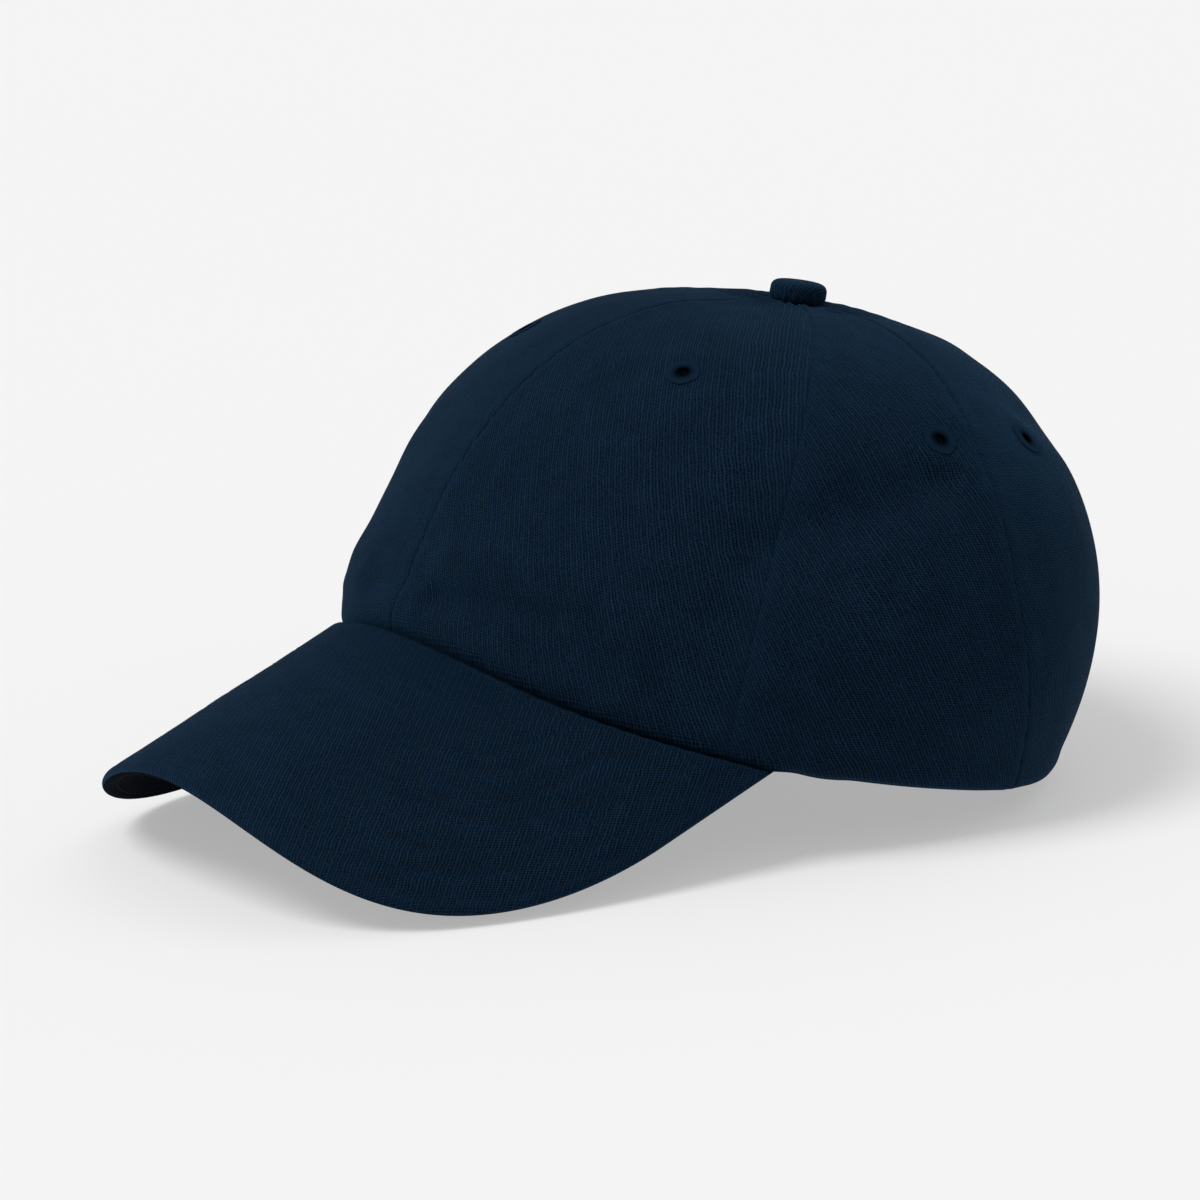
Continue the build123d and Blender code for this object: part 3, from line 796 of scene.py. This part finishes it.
def arch_line(grow, corner=0.0):
    """Angle and rise along the back opening's edge, from the rim to its top."""
    half = ARCH_HALF_WIDTH + grow
    shoulder = ARCH_HEIGHT - ARCH_HALF_WIDTH
    foot = float(rim_height(180 - math.degrees(math.asin(half / RIM_SIDE))))
    heights = np.linspace(foot, shoulder, 16)[:-1]
    turns = np.radians(np.linspace(0, 90, 61))
    short = np.clip(corner - (heights - foot), 0, corner)
    rounding = corner - np.sqrt(corner**2 - short**2)
    x = np.concatenate([half + rounding, half * np.cos(turns)])
    z = np.concatenate([heights, shoulder + half * np.sin(turns)])
    angle, rise = solve_on_crown(x, z)
    return np.stack([angle, np.maximum(rise, 0)], -1)


def arch_distance(angle, rise):
    skin = crown_skin(angle, rise)
    over = skin[..., 2] - (ARCH_HEIGHT - ARCH_HALF_WIDTH)
    reach = np.hypot(skin[..., 0], np.maximum(over, 0)) - ARCH_HALF_WIDTH
    behind = skin[..., 1] > 0
    return np.where(behind, reach, FAR)


def seam_line(seam, first=0.0, last=APEX_RISE):
    rises = np.linspace(first, last, 121)
    return np.stack([np.broadcast_to(seam(rises), rises.shape), rises], -1)


def at_front(rise):
    return np.zeros_like(rise)


def at_back(rise):
    return np.full_like(rise, 180.0)


def spaced(line, shares):
    """Angles and rises at shares of a line's length on the crown."""
    lengths = path_lengths(crown_skin(line[:, 0], line[:, 1]))
    where = np.asarray(shares) * lengths[-1]
    return np.stack([np.interp(where, lengths, line[:, k]) for k in (0, 1)], -1)


def evenly(line, count):
    return spaced(line, np.linspace(0, 1, count))


def back_middle_line():
    """Inner edge of the back panel: up the arch, then up the back's middle."""
    arch = arch_line(0, ARCH_CORNER)
    above = seam_line(at_back, arch[-1, 1], APEX_RISE)
    return np.concatenate([arch, above[1:]])


PANELS = {
    "front": (seam_line(at_front), seam_line(front_side_seam), at_front, front_side_seam),
    "side": (seam_line(front_side_seam), seam_line(side_back_seam), front_side_seam, side_back_seam),
    "back": (seam_line(side_back_seam), back_middle_line(), side_back_seam, at_back),
}


def panel_grid(place, side):
    """Angles and rises of a panel's points, columns in the order of rising angle."""
    first, last, _, _ = PANELS[place]
    height, width = PANEL_SIZE
    rim_rows = np.arange(0, 3.4, 0.35) / height
    rows = np.concatenate([rim_rows, np.linspace(4.0 / height, 1, int((height - 4) / GRID_PITCH))])
    near_edge = np.array([0, 0.35, 0.8, 1.4, 2.2]) / width
    middle = np.linspace(3.2 / width, 1 - 3.2 / width, int((width - 6) / GRID_PITCH))
    share = np.concatenate([near_edge, middle, 1 - near_edge[::-1]])[None, :, None]
    grid = spaced(first, rows)[:, None] * (1 - share) + spaced(last, rows)[:, None] * share
    angle, rise = grid[..., 0] * side, grid[..., 1]
    if side < 0:
        angle, rise = angle[:, ::-1], rise[:, ::-1]
    return angle, rise


def ridges(distance, table):
    """Height of the ridges and dips along an edge, at a distance from it."""
    return sum(height * bell(distance - place, width) for place, width, height in table)


def panel_relief(edge, height, rise, apart, points):
    """Rolled seam edges, the ridge over the seam's allowance, puckers and the turned rim."""
    wander = 2.2 * ripple(points, 24.0, 41.0)
    pucker = np.sin(height * 2 * math.pi / PUCKER_PITCH + 3 * wander) * np.exp(-edge / PUCKER_REACH)
    gather = np.sin(edge * 1.9 + 6 * wander) * smooth(0.87, 0.94, rise)
    edges = ridges(edge, SEAM_RELIEF) + ridges(height, RIM_RELIEF) + ridges(apart, ARCH_RELIEF)
    return edges + PUCKER_HEIGHT * pucker + GATHER_HEIGHT * gather


def eyelet_place(place, side):
    angle, rise = EYELETS[place]
    return np.array([angle * side]), np.array([rise])


def crown_panel(place, side, label):
    _, _, start, end = PANELS[place]
    angle, rise = panel_grid(place, side)

    def centre(r):
        return side * (start(r) + end(r)) / 2

    skin = crown_skin(angle, rise)
    radius = np.hypot(skin[..., 0], skin[..., 1])
    turned = np.minimum(np.abs(angle) - start(rise), end(rise) - np.abs(angle))
    edge = np.maximum(np.radians(turned) * radius, 0)
    apart = np.maximum(arch_distance(angle, rise), 0) if place == "back" else np.full_like(rise, FAR)
    cloth = flat_place(angle, rise, centre, np.minimum(edge, apart))
    height = cloth[..., 1]
    relief = panel_relief(edge, height, rise, apart, skin)
    hole = eyelet_place(place, side)
    gap = np.linalg.norm(skin - crown_skin(*hole)[0], axis=-1)
    free = smooth(*EYELET_FLAT, gap)
    lift = (crown_lift(angle, rise) + relief) * free + crown_lift(*hole)[0] * (1 - free)
    lift = lift + ridges(gap, EYELET_RELIEF)
    points = skin + crown_normal(angle, rise) * lift[..., None]
    at_visor = 1 - smooth(62, 68, np.abs(angle))
    points[..., 2] -= RIM_TUCK * at_visor * bell(height, 1.2)
    # painted shade in the crease along the crown's foot where it meets the visor
    crease_shade = at_visor * ridges(height, RIM_CREASE_SHADE)
    cut = gap.ravel() < EYELET_CUT
    faces = [face for face in grid_faces(*rise.shape) if not cut[list(face)].any()]
    piece = new_piece(f"panel_{place}_{label}_cloth", points, faces, crown_cloth, cloth, crease_shade)
    drop_loose_points(piece)
    thicken(piece, CLOTH)
    piece.data.set_sharp_from_angle(angle=SHARP)
    return place_piece(piece, [f"panel_{place}_{label}"])


def drop_loose_points(piece):
    mesh = bmesh.new()
    mesh.from_mesh(piece.data)
    loose = [vertex for vertex in mesh.verts if not vertex.link_faces]
    bmesh.ops.delete(mesh, geom=loose, context="VERTS")
    mesh.to_mesh(piece.data)
    mesh.free()


def local_frame(angle, rise):
    """Origin on the draped crown, with directions to the right, up and outwards."""
    out = crown_normal(angle, rise)[0]
    origin = crown_skin(angle, rise)[0] + out * crown_lift(angle, rise)[0]
    right = unit(np.cross([0, 0, 1.0], out))
    return origin, right, np.cross(out, right), out


def crown_eyelet(place, side, label):
    """Ring of satin stitches round a vent hole, each thread lying outwards from the hole."""
    origin, right, up, out = local_frame(*eyelet_place(place, side))
    around = np.radians(np.linspace(0, 360, EYELET_THREADS * 6, endpoint=False))[None]
    swing = np.radians(np.linspace(-20, 180, 22))[:, None]
    middle = (EYELET_HOLE + EYELET_OUTER) / 2
    half = (EYELET_OUTER - EYELET_HOLE) / 2
    ridge = 0.05 * np.abs(np.sin(around * EYELET_THREADS / 2))
    uneven = 0.12 * np.sin(around * 5 + 1.0 + side) + 0.08 * np.sin(around * 13)
    c, s = np.cos(swing), np.sin(swing)
    radius = middle + (half + ridge + uneven * (c > 0)) * np.sign(c) * np.abs(c) ** 0.45
    height = (EYELET_RISE + ridge) * np.sign(s) * np.abs(s) ** 0.7 - 0.9 * (c < -0.99)
    flat = right * np.cos(around)[..., None] + up * np.sin(around)[..., None]
    points = origin + flat * radius[..., None] + out * height[..., None]
    faces = grid_faces(*radius.shape, closed=True)
    cloth = np.stack(np.broadcast_arrays(around * middle, radius, height), -1)
    piece = new_piece(f"eyelet_{place}_{label}_thread", points, faces, eyelet_thread, cloth)
    return place_piece(piece, [f"eyelet_{place}_{label}"])


def crown_tape(name, seam, first, last, side):
    """Tape domed over a seam's allowance on the inside, with a row of stitches near each edge."""
    line = evenly(seam_line(seam, first, last), int(CROWN_ARC * (last - first) / 1.2))
    skin = crown_skin(line[:, 0], line[:, 1])
    radius = np.hypot(skin[:, 0], skin[:, 1])[:, None]
    across = np.linspace(-TAPE_WIDTH / 2, TAPE_WIDTH / 2, 17)[None]
    across = np.minimum(np.abs(across), radius * math.radians(27)) * np.sign(across)
    angle = line[:, :1] * side + np.degrees(across / radius)
    rise = np.broadcast_to(line[:, 1:], angle.shape)
    waves = 0.08 * np.sin(rise * CROWN_ARC * 1.1)
    inset = TAPE_INSET + 0.05 + ridges(np.abs(across), TAPE_RELIEF) + waves
    points = on_crown(angle, rise, inset)
    along = np.broadcast_to(path_lengths(skin)[:, None], angle.shape)
    cloth = np.stack([across, along, TAPE_WIDTH / 2 - np.abs(across)], -1)
    piece = sheet_piece(f"{name}_woven", points, tape_cloth, cloth, TAPE_THICKNESS)
    place_piece(piece, [name])
    out = crown_normal(angle, rise)
    rows = [(points[:, j] - out[:, j] * TAPE_THICKNESS, -out[:, j]) for j in (2, -3)]
    place_piece(stitch_rows(f"{name}_stitches", rows, thread))


def inner_arch(grow):
    return arch_line(grow, max(ARCH_CORNER - grow, 0.0))


def whole_arch(half):
    """The arch's line on the left, followed by its mirror image back down on the right."""
    mirrored = np.stack([360 - half[::-1, 0], half[::-1, 1]], -1)
    return np.concatenate([half, mirrored[1:]])


def arch_tape():
    """Facing tape round the inside of the back opening, with stitches that show outside too."""
    grows = np.linspace(0.5, ARCH_BINDING_WIDTH, 11)
    angle, rise = np.stack([whole_arch(evenly(inner_arch(grow), 90)) for grow in grows], 1).T
    angle, rise = angle.T, np.maximum(rise.T, RIM_CLEARANCE)
    inset = TAPE_INSET + 0.1 + 0.25 * bell(grows - 7.0, 0.7)[None]
    points = on_crown(angle, rise, np.broadcast_to(inset, rise.shape))
    along = path_lengths(crown_skin(angle[:, 0], rise[:, 0]))
    cloth = np.stack(np.broadcast_arrays(grows[None], along[:, None], 4.0), -1)
    piece = sheet_piece("arch_binding_woven", points, tape_cloth, cloth, TAPE_THICKNESS, flip=True)
    place_piece(piece, ["arch_binding"])
    rows = []
    for grow in (1.8, 7.0):
        line = evenly(inner_arch(grow), 110)
        line = whole_arch(line[line[:, 1] > RIM_CLEARANCE])
        out = crown_normal(line[:, 0], line[:, 1])
        outside = on_crown(line[:, 0], line[:, 1], 0.05)
        inside = on_crown(line[:, 0], line[:, 1], TAPE_INSET + TAPE_THICKNESS + 0.25)
        rows += [(outside, out), (inside, -out)]
    place_piece(stitch_rows("arch_topstitches", rows, thread))


def band_section(half_thickness, half_height, start, end, count):
    """Inset and rise round the sweatband's section, a flattened loop."""
    swing = np.radians(np.linspace(start, end, 400))
    c, s = np.cos(swing), np.sin(swing)
    inset = BAND_MIDDLE + half_thickness * np.sign(c) * np.abs(c) ** 0.35
    rise = BAND_TOP_RISE / 2 + half_height * np.sign(s) * np.abs(s) ** 0.7
    evened = resampled(np.stack([inset, rise * CROWN_ARC], -1), count)
    return evened[:, 0], evened[:, 1] / CROWN_ARC


def band_grid(section, columns, short=0.0):
    inset, rise = section
    corner = 180 - math.degrees(math.asin((ARCH_HALF_WIDTH + 1) / RIM_SIDE)) - short
    angle = np.linspace(-corner, corner, columns)[None]
    extra = BAND_BACK_EXTRA * smooth(*BAND_RAMP, np.abs(angle))
    full = np.broadcast_to(angle, (len(inset), columns))
    level = np.broadcast_to(rise[:, None], full.shape)
    gather = 0.12 * np.sin(np.radians(full) * 55) * smooth(0.05, 0.15, level)
    pinch = 0.2 + 0.8 * smooth(0, 4, corner - np.abs(angle))
    depth = BAND_MIDDLE + (inset[:, None] - BAND_MIDDLE) * pinch + extra + gather
    depth = depth - rear_squeeze(full, level)
    return full, level, on_crown(full, level, depth)


def sweatband():
    """Twill facing wrapped round a thin foam strip, stitched along its top fold and its hem."""
    section = band_section(1.25, BAND_TOP_RISE / 2, -130, 120, 62)
    angle, rise, points = band_grid(section, 420)
    inner = section[0] > 2.9
    rows = []
    for target in (0.022, 0.15):
        row = int(np.argmin(np.abs(section[1] - target) + 9.0 * ~inner))
        dimple = 0.25 * bell((section[1] - target) * CROWN_ARC, 0.8) * inner
        points = points + crown_normal(angle, rise) * dimple[:, None, None]
        rows.append((points[row], -crown_normal(angle[row], rise[row])))
    along = path_lengths(np.stack(section, -1) * (1, CROWN_ARC))
    around = np.radians(angle) * RIM_SIDE
    cloth = np.stack([around, np.broadcast_to(along[:, None], angle.shape), 4.0 + 0 * angle], -1)
    facing = BAND_FACING * 0.7
    piece = sheet_piece("sweatband_facing_cloth", points, band_cloth, cloth, facing, flip=True)
    place_piece(piece, ["sweatband_facing"])
    place_piece(stitch_rows("sweatband_stitches", rows, thread))


def band_foam():
    """Closed foam strip with soft edges, pinched in towards its two ends."""
    section = band_section(0.5, BAND_TOP_RISE / 2 - 0.012, -180, 180, 49)
    section = section[0][:-1], section[1][:-1]
    _, _, points = band_grid(section, 260, short=8.0)
    rings = points.swapaxes(0, 1)
    faces = bar_faces(*rings.shape[:2])
    piece = new_piece("sweatband_padding_foam", rings, faces, foam)
    place_piece(piece, ["sweatband_padding"])


def blank_label():
    """Small blank woven label, turned under at its ends."""
    across = np.linspace(171.5, 188.5, 34)[None]
    up = np.linspace(0.52, 0.64, 24)[:, None]
    angle, rise = np.broadcast_arrays(across, up)
    skin = crown_skin(angle, rise)
    u = np.radians(angle - 180) * np.hypot(skin[..., 0], skin[..., 1])
    v = (rise - up[0]) * CROWN_ARC
    rim = np.minimum(np.abs(u).max() - np.abs(u), np.minimum(v, v.max() - v))
    inset = TAPE_INSET + 1.55 + 0.15 * bell(rim, 0.8) - 0.2 * smooth(6, 0, np.abs(u))
    points = on_crown(angle, rise, inset)
    cloth = np.stack([u, v, rim], -1)
    piece = sheet_piece("inner_label_woven", points, label_cloth, cloth, 0.35)
    place_piece(piece, ["inner_label"])


# ------------------------------------------------------------------ visor
def visor_outline_forward(turn, inset):
    arc = math.radians(VISOR_HALF_SPAN)
    side = np.minimum(np.abs(turn) / (VISOR_TURN - inset / arc), 1)
    reach = (VISOR_REACH - inset) * np.sqrt(1 - side**VISOR_OUTLINE_POWER)
    return VISOR_SHOULDER_REACH + reach


def visor_row(inset, depth, back=1.5):
    """Path of a stitched row parallel to the outline, with the outward direction at each point."""
    arc = math.radians(VISOR_HALF_SPAN)
    full_turn = VISOR_TURN - inset / arc
    turn = full_turn * np.sin(np.radians(np.linspace(-90, 90, 900)))
    forward = visor_outline_forward(turn, inset)
    kept = forward > visor_seam_forward(turn) + back
    turn, forward = turn[kept], forward[kept]
    return visor_point(turn, forward, depth), visor_normal(turn, forward)


def visor_normal(turn, forward):
    return unit(visor_point(turn, forward, 0.0) - visor_point(turn, forward, 1.0))


def visor_sheet(name, node, tuck, top):
    """One visor cover: rounded over the outline, dimpled along its stitched rows."""
    columns, rows = 230, 100
    spread = np.radians(np.linspace(-90, 90, columns))[None]
    turn = VISOR_TURN * np.sin(spread)
    near = visor_seam_forward(turn, 0.15) - tuck
    far = visor_outline_forward(turn, 0)
    near_seam = np.linspace(0, SEAM_SHARE, 15)[:-1]
    swing = np.linspace(math.asin(SEAM_SHARE), math.pi / 2, rows)
    share = np.concatenate([near_seam, np.sin(swing)])[:, None]
    forward = near + (far - near) * share
    turn = np.broadcast_to(turn, forward.shape)
    middle = VISOR_THICKNESS / 2
    base = 0.0 if top else VISOR_THICKNESS
    gone = 1 - np.minimum(outline_distance(turn, forward, 0) / VISOR_EDGE_ROUND, 1)
    fall = 1 - np.sqrt(1 - gone * gone)
    depth = base + (middle - base) * fall
    sign = 1 if top else -1
    plain = visor_point(turn, forward, 0.0)
    tree = path_tree([visor_row(inset, 0.0)[0] for inset in VISOR_ROWS])
    rows_sink = groove(plain, tree, 0.10, 0.7)
    seam_gap = forward - near - tuck
    seam_sink = 1.8 * bell(np.maximum(seam_gap, 0), 1.4) if top else 0.0 * forward
    swell = 0.25 * ripple(plain, 30.0, 8.0 + base) + 0.10 * ripple(plain, 9.0, 5.0)
    swell = swell * smooth(0.0, 6.0, outline_distance(turn, forward, 0)) * smooth(0, 6, seam_gap)
    seam_pucker = 0.16 * np.sin(turn * 1.9 + 4 * ripple(plain, 20, 2)) * np.exp(-np.abs(seam_gap) / 4.5)
    depth = depth + sign * (rows_sink + seam_sink - swell - seam_pucker)
    points = visor_point(turn, forward, depth)
    half = np.linspace(-VISOR_TURN, VISOR_TURN, 181)
    widths = path_lengths(visor_point(half, np.zeros_like(half), 0.0))
    across = np.interp(turn, half, widths) - widths[-1] / 2
    cloth = np.stack([across, forward, outline_distance(turn, forward, 0)], -1)
    material = visor_cloth if top else under_visor_shaded_cloth
    # painted shade in the crease along the top cover's seam with the crown
    crease_shade = 0.95 * bell(np.maximum(seam_gap, 0), 0.95) if top else None
    piece = sheet_piece(name, points, material, cloth, VISOR_CLOTH * 0.75, flip=top, crease_shade=crease_shade)
    piece.data.set_sharp_from_angle(angle=SHARP)
    return place_piece(piece, [node])


def visor_board():
    """Moulded stiffener between the covers, with rounded edges, held back from the seam."""
    columns, rows = 120, 60
    spread = np.radians(np.linspace(-90, 90, columns))[None]
    inset = 2.8
    turn = (VISOR_TURN - inset / math.radians(VISOR_HALF_SPAN)) * np.sin(spread)
    near = np.minimum(visor_seam_forward(turn, 4.0), visor_outline_forward(turn, inset) - 0.5)
    far = visor_outline_forward(turn, inset)
    share = np.sin(np.radians(np.linspace(0, 90, rows)))[:, None]
    forward = near + (far - near) * share
    points = visor_point(np.broadcast_to(turn, forward.shape), forward, VISOR_CLOTH + 0.15)
    cloth = np.stack([forward, forward, forward], -1)
    piece = sheet_piece("visor_board_plastic", points, board_plastic, cloth, 1.7, flip=True)
    piece.data.set_sharp_from_angle(angle=SHARP)
    place_piece(piece, ["visor_board"])


def visor():
    visor_board()
    visor_sheet("visor_top_cover_cloth", "visor_top_cover", 2.6, True)
    visor_sheet("visor_under_cover_cloth", "visor_under_cover", 3.0, False)
    top_rows = [visor_row(inset, 0.10) for inset in VISOR_ROWS]
    under_rows = []
    for inset in VISOR_ROWS:
        points, out = visor_row(inset, VISOR_THICKNESS - 0.10)
        under_rows.append((points, -out))
    place_piece(stitch_rows("visor_top_stitches", top_rows, thread))
    place_piece(stitch_rows("visor_under_stitches", under_rows, under_visor_shaded_thread))


# ------------------------------------------------------------------ closure
def strap_point(turn, height, depth):
    """Point on the strap: turn from the back's middle, height from its lower edge, depth inwards."""
    a = np.radians(90 + turn)
    radius = STRAP_RADIUS + math.tan(LEAN) * height - depth
    z = np.broadcast_to(STRAP_BOTTOM + height, np.shape(radius * np.cos(a)))
    return np.stack([radius * np.cos(a), STRAP_CENTRE_Y + radius * np.sin(a), z], -1)


def strap():
    """Folded twill strap with soft edges, a rounded tail and a stitched row along each edge."""
    around = np.radians(np.linspace(0, 360, 72, endpoint=False))[None]
    turn = np.linspace(STRAP_SEWN_END, STRAP_TAIL_END, 150)[:, None]
    from_end = np.radians(STRAP_TAIL_END - turn) * STRAP_RADIUS
    narrow = np.sqrt(np.clip(1 - (1 - np.minimum(from_end / 5.0, 1)) ** 2, 0.0, 1)) * 0.35 + 0.65
    c, s = np.cos(around), np.sin(around)
    half_height = STRAP_HEIGHT / 2 * narrow
    across = np.sign(c) * np.abs(c) ** 0.35
    thick = np.sign(s) * np.abs(s) ** 0.6
    height = STRAP_HEIGHT / 2 + half_height * across
    half = STRAP_THICKNESS / 2
    rows_at = STRAP_HEIGHT / 2 - STRAP_STITCH_INSET
    pinch = 0.16 * bell(np.abs(height - STRAP_HEIGHT / 2) - rows_at, 0.7)
    depth = half - (half - pinch) * thick * (1 - 0.5 * np.exp(-from_end / 0.5))
    turns = np.broadcast_to(turn, height.shape)
    points = strap_point(turns, height, depth)
    along = np.radians(turns) * STRAP_RADIUS
    from_edge = np.abs(half_height - np.abs(height - STRAP_HEIGHT / 2))
    cloth = np.stack([along, height, from_edge], -1)
    faces = bar_faces(*height.shape)
    piece = new_piece("closure_strap_cloth", points, faces, strap_cloth, cloth)
    piece.data.set_sharp_from_angle(angle=math.radians(60))
    place_piece(piece, ["closure_strap"], body="strap")
    turns = np.linspace(STRAP_SEWN_END + 1, STRAP_TAIL_END - 1.4, 200)
    stitched = []
    for height in (STRAP_HEIGHT / 2 - rows_at, STRAP_HEIGHT / 2 + rows_at):
        for depth, sign in ((0.14, 1), (STRAP_THICKNESS - 0.14, -1)):
            path = strap_point(turns, np.full_like(turns, height), depth)
            out = unit(path - np.array([0, STRAP_CENTRE_Y, 0])) * (1, 1, 0)
            stitched.append((path, sign * unit(out)))
    stitches = stitch_rows("closure_strap_stitches", stitched, thread, radius=0.18)
    place_piece(stitches, body="strap")


def buckle_tab():
    """Tab of cloth looped round the buckle's end bar, its two layers sewn together under the panel."""
    middle_radius = STRAP_RADIUS + math.tan(LEAN) * STRAP_HEIGHT / 2 - STRAP_THICKNESS / 2
    a = math.radians(90 + BUCKLE_ANGLE)
    outward = np.array([math.cos(a), math.sin(a), 0])
    along = np.array([-math.sin(a), math.cos(a), 0])
    normal = outward * math.cos(LEAN) - np.array([0, 0, math.sin(LEAN)])
    up = np.cross(normal, along)
    origin = np.array([0, STRAP_CENTRE_Y, STRAP_BOTTOM + STRAP_HEIGHT / 2]) + outward * middle_radius
    grow = 0.12 + TAB_CLOTH / 2
    left, right = BUCKLE_BAR[0] - grow, BUCKLE_BAR[1] + grow
    low, high = BUCKLE_PLATE[0] - grow, BUCKLE_PLATE[1] + grow
    turns = np.radians(np.linspace(TAB_END - BUCKLE_ANGLE, 12.5, 18))
    centre = (low + high) / 2

    def tail(offset):
        radius = middle_radius + centre + offset
        return np.stack([radius * np.sin(turns), radius * np.cos(turns) - middle_radius], -1)

    corners = np.radians(np.linspace(90, 270, 19))
    bend = (high - low) / 2
    loop = np.stack([left + bend * (1 + np.cos(corners)), centre + bend * np.sin(corners)], -1)
    half = TAB_CLOTH / 2 + 0.02
    path = np.concatenate([tail(half), [[right, high]], loop, [[right, low]], tail(-half)[::-1]])
    path = resampled(path, 120)
    across = np.linspace(-TAB_HALF, TAB_HALF, 25)
    points = origin + path[:, None, :1] * along + path[:, None, 1:] * normal + across[None, :, None] * up
    length = path_lengths(path)[:, None]
    cloth = np.stack(np.broadcast_arrays(across[None], length, TAB_HALF - np.abs(across)[None]), -1)
    faces = grid_faces(*points.shape[:2])
    piece = new_piece("buckle_tab_cloth", points, faces, strap_cloth, cloth)
    thicken(piece, TAB_CLOTH * 0.9, offset=0.0)
    piece.data.set_sharp_from_angle(angle=SHARP)
    place_piece(piece, ["buckle_tab"])


# ------------------------------------------------------------------ button
def button():
    """Twill-covered button: upright sides, a flat top and gathers where the cloth tucks under."""
    swing = np.radians(np.linspace(-72, 90, 66))[:, None]
    around = np.radians(np.linspace(0, 360, 180, endpoint=False))[None]
    c = np.abs(np.cos(swing)) ** 0.42
    s = np.sign(np.sin(swing)) * np.abs(np.sin(swing)) ** 0.75
    gather = 0.16 * (np.sin(around * 17) + 0.5 * np.sin(around * 29 + 1)) * smooth(0.1, -0.7, s)
    radius = (BUTTON_RADIUS + gather) * c
    reach = np.where(s < 0, BUTTON_HALF_HEIGHT + BUTTON_SKIRT, BUTTON_HALF_HEIGHT)
    height = BUTTON_CENTRE + reach * s + 0 * around
    points = np.stack([radius * np.sin(around), -radius * np.cos(around), height], -1)
    faces = grid_faces(*radius.shape, closed=True)
    profile = path_lengths(points[:, 0])[:, None]
    spread = profile[-1] - profile
    cloth = np.stack([spread * np.sin(around), -spread * np.cos(around), 3.0 + 0 * spread * around], -1)
    piece = new_piece("button_cover_cloth", points, faces, button_cloth, cloth)
    thicken(piece, 0.45)
    place_piece(piece, ["button_cover"])


CAD_FINISHES = {
    "buckle_frame": brass,
    "buckle_pin": brass,
    "buckle_lever": brass,
    "button_shell": steel,
    "button_stud": steel,
    "button_backing": steel,
}


def finish_cad_nodes():
    for name, material in CAD_FINISHES.items():
        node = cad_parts[name]
        node.data.materials.clear()
        node.data.materials.append(material)


def build_cap():
    for label, side in SIDES.items():
        for place in PANELS:
            crown_panel(place, side, label)
            crown_eyelet(place, side, label)
        crown_tape(f"seam_tape_front_{label}", front_side_seam, 0.012, 0.955, side)
        crown_tape(f"seam_tape_back_{label}", side_back_seam, 0.012, 0.955, side)
    crown_tape("seam_tape_front", at_front, 0.012, 0.955, 1)
    crown_tape("seam_tape_back", at_back, 0.47, 0.955, 1)
    arch_tape()
    blank_label()
    band_foam()
    sweatband()
    visor()
    strap()
    buckle_tab()
    button()
    finish_cad_nodes()


# ------------------------------------------------------------------ floor, light and camera
def add_floor():
    size = 40.0
    mesh = bpy.data.meshes.new("floor")
    corners = [(-size, -size, 0), (size, -size, 0), (size, size, 0), (-size, size, 0)]
    mesh.from_pydata(corners, [], [(0, 1, 2, 3)])
    floor = bpy.data.objects.new("floor", mesh)
    bpy.context.collection.objects.link(floor)
    f = Finish("pale_floor", 0.9, Specular_IOR_Level=0.0, Emission_Strength=0.40)
    place = f.object_place()
    f.colour(f.mix(f.noise(place, 3.0), grey(0.498), grey(0.502)))
    mesh.materials.append(f.material)


def add_light():
    world = bpy.data.worlds.new("studio")
    bpy.context.scene.world = world
    world.use_nodes = True
    background = world.node_tree.nodes["Background"]
    background.inputs["Color"].default_value = (1.0, 1.0, 1.0, 1.0)
    background.inputs["Strength"].default_value = 0.38
    for name, strength, spread, azimuth, height in (
        ("key", 2.05, 30.0, -10.0, 60.0),
        ("rim", 0.35, 60.0, 200.0, 40.0),
    ):
        lamp = bpy.data.lights.new(name, "SUN")
        lamp.energy = strength
        lamp.angle = math.radians(spread)
        sun = bpy.data.objects.new(name, lamp)
        a, e = math.radians(azimuth), math.radians(height)
        towards = Vector((math.sin(a) * math.cos(e), -math.cos(a) * math.cos(e), math.sin(e)))
        sun.rotation_euler = towards.to_track_quat("Z", "Y").to_euler()
        bpy.context.collection.objects.link(sun)


def add_camera():
    a, e, r = (math.radians(v) for v in (CAMERA_AZIMUTH, CAMERA_ELEVATION, CAMERA_ROLL))
    back = Vector((math.sin(a) * math.cos(e), -math.cos(a) * math.cos(e), math.sin(e)))
    level = Vector((math.cos(a), math.sin(a), 0))
    upright = back.cross(level)
    right = level * math.cos(r) + upright * math.sin(r)
    up = upright * math.cos(r) - level * math.sin(r)
    place = right * CAMERA_AIM[0] + up * CAMERA_AIM[1] + back * CAMERA_DISTANCE
    axes = Matrix((right, up, back)).transposed().to_4x4()
    data = bpy.data.cameras.new("camera")
    data.lens = CAMERA_LENS
    data.sensor_width = CAMERA_SENSOR
    data.clip_end = 100.0
    camera = bpy.data.objects.new("camera", data)
    bpy.context.collection.objects.link(camera)
    camera.matrix_world = STANDING @ (Matrix.Translation(place * MM) @ axes)
    bpy.context.scene.camera = camera


bpy.context.scene.view_settings.view_transform = "Standard"
build_cap()
add_floor()
add_light()
add_camera()
